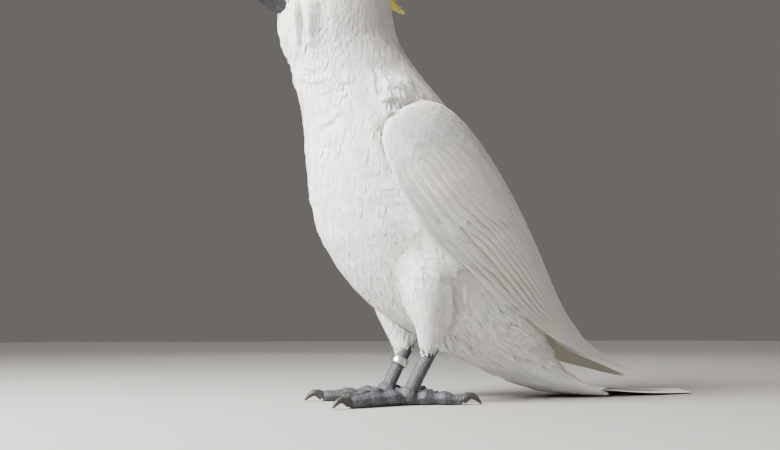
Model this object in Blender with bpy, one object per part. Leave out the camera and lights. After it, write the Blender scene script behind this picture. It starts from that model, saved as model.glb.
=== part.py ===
"""Sulphur-crested cockatoo, life size, standing at ease with its tail laid on the floor.

The bird faces -X, +Z is up and the floor is z = 0. The middle of its body is the plane y = 0, and its
left side is -Y. The solids give its outline out to the tips of the feathers. All sizes are millimetres
until a mesh is made.
"""

import math

import bmesh
import bpy
from mathutils import Vector

MM = 0.001
GAP = 0.3  # between two neighbours
WING_GAP = 0.45  # between a wing and what it lies on
ORIGIN = Vector((55.6, 0, 0))  # the sizes below are from the ankles; the objects are moved to mid-length

# The neck and trunk, from the head down: front (x, z), back (x, z), half width, how square the back is.
# Each is a slice square to the bird's long axis. 1.0 is round, less is squarer.
NECK_SLICES = [
    ((-114, 262), (-27, 288), 33.5, 1.0),
    ((-108, 244), (-22, 279), 34.5, 1.0),
    ((-103, 226), (-13, 267), 37.5, 1.0),
    ((-100, 207), (-4, 255), 43.0, 0.98),
]
TRUNK_SLICES = [
    ((-100, 207), (-4, 255), 43.0, 0.98),
    ((-97.5, 186), (8, 241), 49.0, 0.95),
    ((-95, 163), (22, 225), 53.5, 0.92),
    ((-87.5, 133), (38, 204), 56.0, 0.90),
    ((-73, 105), (52, 179), 56.0, 0.90),
    ((-50, 80), (66, 153), 54.0, 0.90),
    ((-22, 60), (77, 127), 50.0, 0.92),
    ((8, 45), (87, 101), 43.0, 0.95),
    ((38, 30), (97, 76), 35.0, 1.0),
    ((62, 20), (103, 55), 29.0, 1.0),
    ((79, 13), (112, 40), 26.0, 1.0),
]
HEAD_SLICES = [
    ((-114, 262), (-27, 288), 33.5, 1.0),
    ((-121, 279), (-30, 302), 35.5, 1.0),
    ((-123.5, 297), (-34, 317), 37.0, 1.0),
    ((-123, 315), (-38, 332), 36.5, 1.0),
    ((-120.5, 332), (-43.5, 346.5), 33.5, 1.0),
    ((-115.5, 346), (-50.5, 358), 28.0, 1.0),
    ((-107.5, 358), (-62, 365.5), 19.5, 1.0),
    ((-98, 364.5), (-76, 368), 9.0, 1.0),
]
AROUND = 22  # sides of a slice
NECK_STEPS, TRUNK_STEPS, HEAD_STEPS = 4, 17, 11

# The left wing, from the shoulder to the tip: lower edge (x, y, z), upper edge (x, y, z), thickness.
WING_RIBS = [
    ((-58, -49, 203), (-49, -45, 213), 5.0),
    ((-60, -52, 192), (-30, -40, 226), 10.0),
    ((-53, -57, 167), (-5, -34, 229), 12.0),
    ((-41, -59, 141), (21, -25, 217), 12.0),
    ((-25, -60, 117), (45, -16, 196), 11.0),
    ((2, -59, 91), (68, -9, 168), 9.5),
    ((28, -55, 70), (87, -6, 138), 8.0),
    ((55, -49, 51), (104, -4, 107), 6.5),
    ((84, -43, 37), (119, -3, 79), 5.0),
    ((120, -38, 26), (140, -3, 53), 3.8),
    ((160, -31, 18), (171, -3, 33), 2.8),
    ((198, -23, 13.6), (205, -6, 18.5), 2.0),
    ((213, -17, 12.6), (215, -11, 14.0), 1.4),
]
WING_STEPS, WING_ACROSS = 24, 7
WING_SQUARE = 0.80  # how square the turn is from the bird's side to its back
WING_TUCK = 5.0  # the lower edge lies this far in, against the body
WING_EDGE = 1.2  # thickness along the lower and upper edges
# The quills end in steps along the lower edge: where a step is, from shoulder to tip, and how deep it is.
QUILL_STEPS = [(0.50, 3.0), (0.585, 4.0), (0.67, 5.0)]

# The tail, from the rump to the tip: x, height of the middle, half width, thickness.
TAIL_SLICES = [
    (95.9, 26.4, 25.7, 27.0),
    (105.0, 19.8, 25.8, 23.0),
    (117.0, 13.4, 26.5, 17.5),
    (132.0, 8.6, 28.0, 12.0),
    (150.0, 5.2, 30.0, 8.0),
    (178.0, 3.0, 32.5, 5.2),
    (215.0, 1.8, 35.0, 3.6),
    (252.0, 1.3, 36.5, 2.6),
]
TAIL_TIP = 262.0
TAIL_QUILLS = 12
TAIL_AROUND, TAIL_STEPS = 48, 7
TAIL_LEAN = 1.22  # x gained for each mm of height in the first slice, to match the rump

# The crest, folded back over the crown: x, z of its middle line, half width, thickness.
CREST_SLICES = [
    (-113, 354, 5.0, 4.5),
    (-102.5, 365.5, 9.5, 8.0),
    (-83, 371.5, 12.5, 9.5),
    (-62, 368.0, 13.0, 9.5),
    (-48, 357.5, 12.5, 9.0),
    (-40, 344.5, 11.0, 8.5),
    (-35.5, 330.5, 9.5, 8.0),
    (-31.5, 320.0, 8.0, 6.5),
    (-23, 315.5, 6.0, 5.0),
    (-15, 321.0, 3.2, 2.6),
]

# The bill, from its base to its tip: upper (x, z), lower (x, z), half width.
UPPER_BILL = [
    ((-106, 343), (-106, 313), 13.5),
    ((-121, 344.5), (-119, 312.8), 13.5),
    ((-133, 341), (-129, 312.6), 11.8),
    ((-143, 333), (-137, 312.4), 9.0),
    ((-148.5, 323), (-142.5, 311.5), 6.2),
    ((-149.8, 314), (-145.6, 309), 3.4),
    ((-148.6, 306.5), (-147.2, 305.8), 1.1),
]
LOWER_BILL = [
    ((-104, 311.8), (-106, 298), 12.0),
    ((-118, 311.8), (-118, 296.6), 12.0),
    ((-128, 311.4), (-129.5, 298.8), 10.6),
    ((-136, 310.6), (-137, 303.0), 8.6),
    ((-141, 309.2), (-141.3, 306.0), 6.0),
]

EYE = (-101.0, 24.6, 336.5)  # x, distance from the middle, z
EYE_RADIUS = 5.6

# A leg, for the left side: the feathered thigh's middle, then its half sizes along x and y.
THIGH_SLICES = [
    ((-20, -30, 126), 20, 14),
    ((-18, -37, 108), 20.5, 16.5),
    ((-16, -38.5, 88), 18.5, 16.5),
    ((-13, -36, 68), 14.5, 13.5),
    ((-10, -30.5, 51.5), 10.5, 10),
    ((-9.2, -27.2, 40.5), 8.0, 7.6),
]
ANKLE = (-6.0, -27.0, 45.0)
FOOT = (-27.0, -25.0, 7.0)  # where the toes meet
SHANK = (5.4, 5.0)  # radius at the ankle and above the toes
SOLE_RADIUS = 7.6  # the pad where the toes meet
# Each toe: tip (x, y), radius at the root and at the tip.
TOES = {
    "outer_front": ((-77, -34), 5.6, 4.1),
    "inner_front": ((-63, -9), 5.2, 3.9),
    "outer_rear": ((10, -41), 5.4, 4.0),
    "inner_rear": ((-1, -13), 4.8, 3.6),
}
CLAW_LENGTH = 14.5
RIGHT_SHIFT = 5.0  # the right leg stands this much further back
THIGH_STEPS, THIGH_SIDES, TOE_STEPS = 7, 14, 6

RING_RADIUS, RING_WALL, RING_HEIGHT = 6.3, 0.9, 6.5
RING_AT = 0.40  # how far down the shank

MATERIALS = {
    "plumage": ((0.86, 0.83, 0.80), 0.85, 0.0),
    "tail_plumage": ((0.80, 0.77, 0.62), 0.80, 0.0),
    "crest_yellow": ((0.88, 0.74, 0.18), 0.80, 0.0),
    "bill_horn": ((0.055, 0.055, 0.06), 0.45, 0.0),
    "eye_dark": ((0.02, 0.012, 0.008), 0.05, 0.0),
    "foot_skin": ((0.10, 0.11, 0.12), 0.65, 0.0),
    "claw_horn": ((0.05, 0.05, 0.055), 0.40, 0.0),
    "ring_metal": ((0.75, 0.76, 0.77), 0.30, 1.0),
}


def between(rows, t):
    """The row at t (0 to 1) along a smooth curve through rows of numbers, by arc of rows."""
    last = len(rows) - 1
    at = min(max(t, 0.0), 1.0) * last
    i = min(int(at), last - 1)
    f = at - i
    p1, p2 = rows[i], rows[i + 1]
    p0 = rows[i - 1] if i else [2 * a - b for a, b in zip(p1, p2)]
    p3 = rows[i + 2] if i + 2 <= last else [2 * b - a for a, b in zip(p1, p2)]
    return [
        0.5 * (2 * b + (c - a) * f + (2 * a - 5 * b + 4 * c - d) * f**2 + (3 * b - a - 3 * c + d) * f**3)
        for a, b, c, d in zip(p0, p1, p2, p3)
    ]


def flat(rows):
    """Rows of points and numbers as rows of plain numbers."""
    return [[n for item in row for n in (item if isinstance(item, tuple) else (item,))] for row in rows]


def power(value, exponent):
    return math.copysign(abs(value) ** exponent, value)


def slice_ring(row, sides):
    """A closed slice between a front and a back point, widest halfway, with a squarer back half."""
    fx, fz, bx, bz, width, square = row
    points = []
    for k in range(sides):
        angle = 2 * math.pi * k / sides
        c, s = math.cos(angle), math.sin(angle)
        e = square if c > 0 else 1.0
        along, side = 0.5 + 0.5 * power(c, e), power(s, e)
        points.append(Vector((fx + (bx - fx) * along, -width * side, fz + (bz - fz) * along)))
    return points


def material(name):
    found = bpy.data.materials.get(name)
    if found:
        return found
    colour, rough, metal = MATERIALS[name]
    new = bpy.data.materials.new(name)
    new.use_nodes = True
    shader = new.node_tree.nodes["Principled BSDF"]
    shader.inputs["Base Color"].default_value = (*colour, 1.0)
    shader.inputs["Roughness"].default_value = rough
    shader.inputs["Metallic"].default_value = metal
    return new


def add_object(name, bm, slot):
    """Makes an object of a mesh in millimetres, with its faces outward and shaded smooth."""
    for vertex in bm.verts:
        vertex.co = (vertex.co - ORIGIN) * MM
    bmesh.ops.recalc_face_normals(bm, faces=bm.faces)
    if bm.calc_volume(signed=True) < 0:
        bmesh.ops.reverse_faces(bm, faces=bm.faces)
    for face in bm.faces:
        face.smooth = True
    mesh = bpy.data.meshes.new(name)
    bm.to_mesh(mesh)
    bm.free()
    mesh.materials.append(material(slot))
    made = bpy.data.objects.new(name, mesh)
    bpy.context.scene.collection.objects.link(made)
    return made


def skin_rings(bm, rings):
    """Joins rings of points into one closed solid with flat ends."""
    rows = [[bm.verts.new(p) for p in ring] for ring in rings]
    for one, two in zip(rows, rows[1:]):
        for k in range(len(one)):
            n = (k + 1) % len(one)
            bm.faces.new((one[k], one[n], two[n], two[k]))
    bm.faces.new(reversed(rows[0]))
    bm.faces.new(rows[-1])


def loft(name, rings, slot):
    bm = bmesh.new()
    skin_rings(bm, rings)
    bmesh.ops.triangulate(bm, faces=[f for f in bm.faces if len(f.verts) > 4])
    return add_object(name, bm, slot)


def combine(target, others, how, margin=0.0):
    """Cuts others, grown by margin, out of target, or joins them to it. The others aren't kept if joined."""
    for other in others:
        tool = bpy.data.objects.new("tool", other.data.copy())
        bpy.context.scene.collection.objects.link(tool)
        if margin:
            bm = bmesh.new()
            bm.from_mesh(tool.data)
            bm.normal_update()
            moves = [v.normal * min(v.calc_shell_factor(), 2.0) * margin * MM for v in bm.verts]
            for vertex, move in zip(bm.verts, moves):
                vertex.co += move
            bm.to_mesh(tool.data)
            bm.free()
        cut = target.modifiers.new("cut", "BOOLEAN")
        cut.operation, cut.solver, cut.object = how, "EXACT", tool
        cut.material_mode = "INDEX"
        done = target.evaluated_get(bpy.context.evaluated_depsgraph_get())
        mesh = bpy.data.meshes.new_from_object(done)
        target.modifiers.remove(cut)
        bm = bmesh.new()
        bm.from_mesh(mesh)
        bmesh.ops.remove_doubles(bm, verts=bm.verts, dist=0.001 * MM)
        bmesh.ops.triangulate(bm, faces=[f for f in bm.faces if len(f.verts) > 4])
        bm.to_mesh(mesh)
        bm.free()
        old, target.data = target.data, mesh
        mesh.name = target.name
        bpy.data.meshes.remove(old)
        spare = tool.data
        bpy.data.objects.remove(tool)
        bpy.data.meshes.remove(spare)
        if how == "UNION":
            spare = other.data
            bpy.data.objects.remove(other)
            bpy.data.meshes.remove(spare)


def body_part(name, slices, steps, slot, trim_top=0.0, trim_end=0.0):
    """A stretch of the body between its first and last slice, trimmed by half a gap where it meets another."""
    rows = flat(slices)
    rings = [slice_ring(between(rows, k / steps), AROUND) for k in range(steps + 1)]
    for ring, near, trim in ((rings[0], rings[1], trim_top), (rings[-1], rings[-2], trim_end)):
        inward = sum(near, Vector()) / len(near) - sum(ring, Vector()) / len(ring)
        for point in ring:
            point += inward.normalized() * trim
    return loft(name, rings, slot)


def wing(name, side):
    """A folded wing: a curved plate from the lower edge, round the bird's side, to the edge on its back."""
    rows = flat(WING_RIBS)
    outer = []
    for i in range(WING_STEPS + 1):
        u = i / WING_STEPS
        lx, ly, lz, ux, uy, uz, thick = between(rows, u)
        for at, deep in QUILL_STEPS:
            past = (u - at) / 0.08
            if 0 <= past < 1:
                lift = deep * (1 - past)
                lx, lz = lx + lift * 0.6, lz + lift * 0.8
        rib = []
        for j in range(WING_ACROSS + 1):
            turn = j / WING_ACROSS * math.pi / 2
            out, up = math.cos(turn) ** WING_SQUARE, math.sin(turn) ** WING_SQUARE
            tuck = WING_TUCK * max(0.0, 1 - up / 0.4) ** 2 * min(1.0, thick / 12)
            y = uy + (ly - uy) * out + tuck
            rib.append(Vector((lx + (ux - lx) * up, y, lz + (uz - lz) * up)))
        outer.append((rib, thick))
    rings = []
    for i, (rib, thick) in enumerate(outer):
        before, after = outer[max(i - 1, 0)][0], outer[min(i + 1, WING_STEPS)][0]
        inner = []
        for j, point in enumerate(rib):
            along = after[j] - before[j]
            across = rib[min(j + 1, WING_ACROSS)] - rib[max(j - 1, 0)]
            inward = along.cross(across).normalized()
            if inward.y < 0 or (abs(inward.y) < 0.3 and inward.z > 0):
                inward = -inward
            from_edge = min(j, WING_ACROSS - j) / (WING_ACROSS / 2)
            depth = WING_EDGE + (thick - WING_EDGE) * min(1.0, from_edge * 1.6)
            inner.append(point + inward * depth)
        rings.append(rib + inner[::-1])
    if side > 0:
        for ring in rings:
            for point in ring:
                point.y = -point.y
    return loft(name, rings, "plumage")


def tail():
    """The fan of twelve quills, thick under its coverts at the rump and flat on the floor at its end."""
    rings = []
    for k in range(TAIL_STEPS + 1):
        t = k / TAIL_STEPS
        x, mid, width, thick = between([list(row) for row in TAIL_SLICES], t)
        lean = TAIL_LEAN * max(0.0, 1 - t * 2.0)
        ring = []
        for n in range(TAIL_AROUND):
            angle = 2 * math.pi * n / TAIL_AROUND
            c, s = math.cos(angle), math.sin(angle)
            share = power(s, 0.85)
            y = width * share
            rise = power(c, 0.7 if t > 0.3 else 0.9) * max(thick, 1.6) / 2
            reach = 0.0
            if k == TAIL_STEPS:
                quill = abs(math.sin(math.pi * TAIL_QUILLS * (share + 1) / 2))
                reach = (TAIL_TIP - x) * (1 - 0.9 * abs(share) ** 3) - 2.2 * (1 - quill)
            ring.append(Vector((x + lean * rise + reach, y, max(mid + rise, 0.0))))
        rings.append(ring)
    return loft("tail", rings, "tail_plumage")


def strap(name, slices, sides, slot):
    """A tapering plume along a curve in the middle plane."""
    rings = []
    rows = [list(row) for row in slices]
    steps = 12
    for k in range(steps + 1):
        x, z, width, thick = between(rows, k / steps)
        near, far = between(rows, (k - 0.5) / steps), between(rows, (k + 0.5) / steps)
        along = Vector((far[0] - near[0], 0, far[1] - near[1])).normalized()
        up = Vector((-along.z, 0, along.x))
        rings.append(
            [
                Vector((x, 0, z))
                + up * math.cos(2 * math.pi * n / sides) * thick / 2
                + Vector((0, math.sin(2 * math.pi * n / sides) * width, 0))
                for n in range(sides)
            ]
        )
    return loft(name, rings, slot)


def bill(name, slices, steps, square):
    """One half of the bill: an upper line, a lower line and a half width between them."""
    rows = flat(slices)
    rings = []
    for k in range(steps + 1):
        tx, tz, bx, bz, width = between(rows, k / steps)
        ring = []
        for n in range(16):
            angle = 2 * math.pi * n / 16
            c, s = math.cos(angle), math.sin(angle)
            along = 0.5 + 0.5 * power(c, square if c * (1 if name == "upper_bill" else -1) < 0 else 1.0)
            ring.append(Vector((bx + (tx - bx) * along, width * power(s, 0.9), bz + (tz - bz) * along)))
        rings.append(ring)
    return loft(name, rings, "bill_horn")


def ball(name, centre, radius, slot):
    bm = bmesh.new()
    bmesh.ops.create_icosphere(bm, subdivisions=2, radius=radius)
    bmesh.ops.translate(bm, verts=bm.verts, vec=Vector(centre))
    return add_object(name, bm, slot)


def tube_rings(points, radii, sides):
    """Rings square to a line of points."""
    rings = []
    for k, (point, radius) in enumerate(zip(points, radii)):
        along = (points[min(k + 1, len(points) - 1)] - points[max(k - 1, 0)]).normalized()
        side = along.cross(Vector((0, 0, 1)))
        side = side.normalized() if side.length > 0.05 else Vector((0, 1, 0))
        up = side.cross(along)
        ring = []
        for n in range(sides):
            angle = 2 * math.pi * n / sides
            ring.append(point + (side * math.cos(angle) + up * math.sin(angle)) * radius)
        rings.append(ring)
    return rings


def level(target):
    """Planes target off at the floor, which leaves narrow flats under the toes."""
    bm = bmesh.new()
    bm.from_mesh(target.data)
    parts = bm.verts[:] + bm.edges[:] + bm.faces[:]
    cut = bmesh.ops.bisect_plane(bm, geom=parts, plane_co=(0, 0, 0), plane_no=(0, 0, 1), clear_inner=True)
    rim = [e for e in cut["geom_cut"] if isinstance(e, bmesh.types.BMEdge)]
    bmesh.ops.contextual_create(bm, geom=rim)
    bmesh.ops.triangulate(bm, faces=[f for f in bm.faces if len(f.verts) > 4])
    bm.to_mesh(target.data)
    bm.free()


def mirrored(source, shift):
    """The right-hand copy of a left-hand object."""
    bm = bmesh.new()
    bm.from_mesh(source.data)
    for vertex in bm.verts:
        vertex.co = vertex.co / MM + ORIGIN
        vertex.co.y = -vertex.co.y
        vertex.co.x += shift
    slot = source.data.materials[0].name
    return add_object(source.name.replace("left", "right"), bm, slot)


def thigh_left():
    rows = flat(THIGH_SLICES)
    rings = []
    for k in range(THIGH_STEPS + 1):
        x, y, z, long, wide = between(rows, k / THIGH_STEPS)
        ring = []
        for n in range(THIGH_SIDES):
            a = 2 * math.pi * n / THIGH_SIDES
            ring.append(Vector((x + long * math.cos(a), y + wide * math.sin(a), z + long * 0.25 * math.cos(a))))
        rings.append(ring)
    return loft("thigh_left", rings, "plumage")


def foot_left():
    """The bare foot, a shank and four toes in one piece, and its four claws."""
    ankle, root = Vector(ANKLE), Vector(FOOT)
    line = [ankle.lerp(root, k / 4) for k in range(5)]
    radii = [SHANK[0] + (SHANK[1] - SHANK[0]) * min(1.0, k / 2) for k in range(5)]
    foot = loft("foot_left", tube_rings(line, radii, 12), "foot_skin")
    claws, toes = [], []
    for toe, ((tx, ty), thick, thin) in TOES.items():
        base = Vector((root.x, root.y, 0))
        run = Vector((tx, ty, 0)) - base
        points, sizes = [], []
        for k in range(TOE_STEPS + 1):
            t = k / TOE_STEPS
            radius = (thick + (thin - thick) * t) * (1 + 0.10 * math.cos(6 * math.pi * t))
            arch = 0.9 * math.sin(math.pi * t)
            points.append(base + run * (t * 1.04 - 0.04) + Vector((0, 0, radius * 0.90 + arch)))
            sizes.append(radius)
        toes.append(loft("toe", tube_rings(points, sizes, 7), "foot_skin"))
        ahead = run.normalized()
        start = points[-1] + ahead * GAP
        curve, sizes = [], []
        for k in range(5):
            t = k / 4
            drop = (start.z - 1.1) * t**1.7 - 3.6 * math.sin(math.pi * t)
            curve.append(start + ahead * CLAW_LENGTH * t * 0.94 - Vector((0, 0, drop)))
            sizes.append(thin * 0.76 * (1 - t) ** 0.7 + 0.42)
        claws.append(loft("claw_left_" + toe, tube_rings(curve, sizes, 7), "claw_horn"))
    combine(foot, [ball("sole", FOOT, SOLE_RADIUS, "foot_skin"), *toes], "UNION")
    level(foot)
    for claw in claws:
        combine(claw, [foot], "DIFFERENCE", GAP)
    return foot, claws, line


def ring_band(line):
    """A plain closed metal band round the right shank, square to it."""
    centre = line[0].lerp(line[-1], RING_AT)
    along = (line[-1] - line[0]).normalized()
    side = Vector((0, 1, 0))
    up = side.cross(along).normalized()
    side = along.cross(up)
    profile = [(0, 0), (RING_WALL, 0), (RING_WALL, RING_HEIGHT), (0, RING_HEIGHT)]
    bm = bmesh.new()
    rows = []
    for n in range(20):
        angle = 2 * math.pi * n / 20
        out = side * math.cos(angle) + up * math.sin(angle)
        rows.append(
            [bm.verts.new(centre + out * (RING_RADIUS + r) + along * (h - RING_HEIGHT / 2)) for r, h in profile]
        )
    for n, row in enumerate(rows):
        after = rows[(n + 1) % len(rows)]
        for k in range(4):
            j = (k + 1) % 4
            bm.faces.new((row[k], row[j], after[j], after[k]))
    return add_object("leg_ring", bm, "ring_metal")


for found in list(bpy.data.objects):
    bpy.data.objects.remove(found)

half = GAP / 2
head = body_part("head", HEAD_SLICES, HEAD_STEPS, "plumage", trim_top=half)
neck = body_part("neck", NECK_SLICES, NECK_STEPS, "plumage", half, half)
trunk = body_part("trunk", TRUNK_SLICES, TRUNK_STEPS, "plumage", half, half)
wings = [wing("wing_left", -1), wing("wing_right", 1)]
rump_tail = tail()
crest = strap("crest", CREST_SLICES, 10, "crest_yellow")
bills = [bill("upper_bill", UPPER_BILL, 11, 0.6), bill("lower_bill", LOWER_BILL, 7, 0.6)]
eyes = [
    ball("eye_left", (EYE[0], -EYE[1], EYE[2]), EYE_RADIUS, "eye_dark"),
    ball("eye_right", EYE, EYE_RADIUS, "eye_dark"),
]
left_thigh = thigh_left()
right_thigh = mirrored(left_thigh, RIGHT_SHIFT)
left_foot, left_claws, shank_line = foot_left()
right_foot, *right_claws = [mirrored(piece, RIGHT_SHIFT) for piece in (left_foot, *left_claws)]
band = ring_band([Vector((p.x + RIGHT_SHIFT, -p.y, p.z)) for p in shank_line])

combine(head, [crest, *bills, *eyes], "DIFFERENCE", GAP)
combine(left_thigh, [wings[0]], "DIFFERENCE", WING_GAP)
combine(left_thigh, [left_foot], "DIFFERENCE", GAP)
combine(right_thigh, [wings[1]], "DIFFERENCE", WING_GAP)
combine(right_thigh, [right_foot], "DIFFERENCE", GAP)
combine(trunk, wings, "DIFFERENCE", WING_GAP)
combine(trunk, [left_thigh, right_thigh], "DIFFERENCE", GAP)
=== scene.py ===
# %% [markdown]
# # A sulphur-crested cockatoo, feather by feather
#
# The solids of this bird give its outline out to the tips of the feathers. This lesson dresses them. One
# skin runs under everything, and each feather is a small closed vane laid on the bird. A particle
# system would grow feathers in minutes, but an export drops particles, so every vane here is real mesh.
# %% The frame and the units
import math

import bmesh
import bpy
import numpy as np
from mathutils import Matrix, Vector, noise
from mathutils.bvhtree import BVHTree
from mathutils.kdtree import KDTree


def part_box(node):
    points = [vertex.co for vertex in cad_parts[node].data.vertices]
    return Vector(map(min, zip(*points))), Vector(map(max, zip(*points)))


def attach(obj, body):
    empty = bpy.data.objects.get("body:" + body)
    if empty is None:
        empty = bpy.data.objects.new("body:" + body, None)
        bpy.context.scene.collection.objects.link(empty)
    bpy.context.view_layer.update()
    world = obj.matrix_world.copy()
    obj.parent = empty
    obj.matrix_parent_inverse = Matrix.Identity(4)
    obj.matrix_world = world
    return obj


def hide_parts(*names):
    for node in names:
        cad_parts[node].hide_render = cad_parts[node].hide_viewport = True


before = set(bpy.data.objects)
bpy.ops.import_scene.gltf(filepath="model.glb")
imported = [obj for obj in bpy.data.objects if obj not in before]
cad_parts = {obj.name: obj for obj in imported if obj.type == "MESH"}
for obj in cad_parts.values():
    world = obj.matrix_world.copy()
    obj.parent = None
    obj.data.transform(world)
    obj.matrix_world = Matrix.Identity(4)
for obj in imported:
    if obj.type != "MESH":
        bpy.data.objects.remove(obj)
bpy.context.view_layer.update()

MM = 0.001  # all sizes below are millimetres, made metres when a mesh is written
SIDES = {"left": -1.0, "right": 1.0}  # the bird faces -X, so its left side is -Y

# %% [markdown]
# ## The camera
#
# The camera stands low at the bird's front left and looks slightly up, so the head leaves the picture at
# the top, as when the bird is seen from a seat beside it. It stays above the floor.
# %% The camera
def add_object(name, data):
    made = bpy.data.objects.new(name, data)
    bpy.context.scene.collection.objects.link(made)
    return made


def aimed_object(name, data, place, aim):
    """An object at a place that faces another place, both in mm."""
    made = add_object(name, data)
    made.location = Vector(place) * MM
    made.rotation_euler = (Vector(aim) - Vector(place)).to_track_quat("-Z", "Y").to_euler()
    return made


camera_lens = bpy.data.cameras.new("camera")
camera_lens.lens = 36.32
camera = aimed_object("camera", camera_lens, (-345.07, -556.44, 50.71), (-85.6, 0, 137))
bpy.context.scene.camera = camera
print("camera height:", round(camera.location.z / MM), "mm")

# %% [markdown]
# ## Materials
#
# Plumage is never one flat white. Each vane carries two numbers, one for how light it is, which also holds
# painted shade at the root, where it lies under the feathers above, and `wash` for how much yellow it holds,
# and a `vane` map that says how far across and along a barb lies. A procedural material turns these into
# colour and into the fine slanting barbs.
# %% A helper for node materials
def material_nodes(name, roughness, **sockets):
    material = bpy.data.materials.new(name)
    material.use_nodes = True
    tree = material.node_tree
    shader = tree.nodes["Principled BSDF"]
    shader.inputs["Roughness"].default_value = roughness
    for socket, value in sockets.items():
        shader.inputs[socket.replace("_", " ")].default_value = value
    return material, tree, shader


def node(tree, kind, **values):
    made = tree.nodes.new(kind)
    for key, value in values.items():
        if hasattr(made, key):
            setattr(made, key, value)
        else:
            made.inputs[key.replace("_", " ")].default_value = value
    return made


def set_or_link(tree, socket, value):
    if isinstance(value, bpy.types.NodeSocket):
        tree.links.new(value, socket)
    else:
        socket.default_value = value


def maths(tree, operation, first, second=0.0, third=0.0):
    made = node(tree, "ShaderNodeMath", operation=operation)
    for socket, value in zip(made.inputs, (first, second, third)):
        set_or_link(tree, socket, value)
    return made.outputs[0]


def blend_colours(tree, factor, first, second):
    made = node(tree, "ShaderNodeMix", data_type="RGBA")
    for number, value in ((0, factor), (6, first), (7, second)):
        set_or_link(tree, made.inputs[number], (*value, 1) if isinstance(value, tuple) else value)
    return made.outputs[2]


def object_noise(tree, scale, detail=3.0):
    place = tree.nodes.new("ShaderNodeTexCoord")
    made = node(tree, "ShaderNodeTexNoise", Scale=scale, Detail=detail)
    tree.links.new(place.outputs["Object"], made.inputs["Vector"])
    return made.outputs["Fac"]


def attribute(tree, name):
    return node(tree, "ShaderNodeAttribute", attribute_name=name).outputs["Fac"]


def bump(tree, shader, height, strength, depth):
    """Bump under a shader, with its depth in mm."""
    made = node(tree, "ShaderNodeBump", Strength=strength, Distance=depth * MM)
    tree.links.new(height, made.inputs["Height"])
    tree.links.new(made.outputs[0], shader.inputs["Normal"])


def mottled(name, roughness, tones, scale, detail=3.0, mark=None, pits=None, **sockets):
    """Two tones blended by noise. mark is an attribute and its colour, pits the bump's noise and size."""
    material, tree, shader = material_nodes(name, roughness, **sockets)
    colour = blend_colours(tree, object_noise(tree, scale, detail), *tones)
    if mark:
        colour = blend_colours(tree, attribute(tree, mark[0]), colour, mark[1])
    tree.links.new(colour, shader.inputs["Base Color"])
    if pits:
        bump(tree, shader, object_noise(tree, *pits[:2]), *pits[2:])
    return material


# %% [markdown]
# White feathers glow a little where light passes through them, so the material scatters light below its
# surface. The barbs are a sine wave that slants away from the shaft on both sides. A picture of barbs
# would do as well from afar, but it would blur in a close view.
# %% Feather materials
WARM_WHITE = (0.86, 0.835, 0.785)
COOL_WHITE = (0.80, 0.81, 0.815)
# the grey that a low tone blends to: the shafts' own grey, and painted shade at the roots
SHAFT_AND_SHADE_GREY = (0.50, 0.475, 0.43)
PALE_YELLOW = (0.74, 0.66, 0.30)
CREST_YELLOW = (0.82, 0.685, 0.11)
BARB_PITCH = 0.8  # mm between two barbs as they show
BARB_SLANT = -0.9


def feather_material(name, yellow, barb_depth):
    material, tree, shader = material_nodes(name, 0.72, Specular_IOR_Level=0.25, Sheen_Weight=0.12)
    shader.inputs["Sheen Roughness"].default_value = 0.45
    shader.inputs["Subsurface Weight"].default_value = 0.35  # light passes through thin vanes
    shader.inputs["Subsurface Radius"].default_value = (1.0, 0.95, 0.9)
    shader.inputs["Subsurface Scale"].default_value = 1.8 * MM
    patches = node(tree, "ShaderNodeMapRange", From_Min=0.35, From_Max=0.65)
    tree.links.new(object_noise(tree, 28.0), patches.inputs["Value"])
    white = blend_colours(tree, patches.outputs[0], WARM_WHITE, COOL_WHITE)
    coloured = blend_colours(tree, attribute(tree, "wash"), white, yellow)
    # painted shade: a low tone darkens the root towards grey where it lies under the feathers above
    root_shaded = blend_colours(tree, attribute(tree, "tint"), SHAFT_AND_SHADE_GREY, coloured)
    tree.links.new(root_shaded, shader.inputs["Base Color"])
    vane = node(tree, "ShaderNodeUVMap", uv_map="vane")
    parts = tree.nodes.new("ShaderNodeSeparateXYZ")
    tree.links.new(vane.outputs[0], parts.inputs[0])
    across = maths(tree, "ABSOLUTE", parts.outputs[0])
    slanted = maths(tree, "MULTIPLY_ADD", across, BARB_SLANT, parts.outputs[1])
    waved = maths(tree, "MULTIPLY_ADD", object_noise(tree, 260.0), 0.9, slanted)
    barbs = maths(tree, "SINE", maths(tree, "MULTIPLY", waved, 2 * math.pi / BARB_PITCH))
    height = maths(tree, "MULTIPLY_ADD", object_noise(tree, 900.0), 1.5, barbs)
    bump(tree, shader, height, 0.35, barb_depth)
    return material


plumage = feather_material("white_plumage", PALE_YELLOW, 0.06)
quill_plumage = feather_material("quill_plumage", PALE_YELLOW, 0.05)
crest_plumage = feather_material("crest_plumage", CREST_YELLOW, 0.05)
print("feather materials:", [m.name for m in (plumage, quill_plumage, crest_plumage)])

# %% [markdown]
# ## Guide surfaces
#
# Feathers have to follow smooth forms. The solids are faceted and parted by thin gaps, so copies of them
# are swollen by a hair, fused by a voxel remesh and smoothed. The body is fused without the wings, so
# that body feathers slide under each wing as they do in life, and the folded wings keep a clean edge.
# %% Fusing solids into a smooth surface
def read_mesh(mesh):
    """Points in mm and triangles of a mesh."""
    mesh.calc_loop_triangles()
    points = np.empty(len(mesh.vertices) * 3)
    mesh.vertices.foreach_get("co", points)
    triangles = np.empty(len(mesh.loop_triangles) * 3, int)
    mesh.loop_triangles.foreach_get("vertices", triangles)
    return points.reshape(-1, 3) / MM, triangles.reshape(-1, 3)


def vertex_normals(mesh):
    normals = np.empty(len(mesh.vertices) * 3)
    mesh.vertices.foreach_get("normal", normals)
    return normals.reshape(-1, 3)


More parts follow.
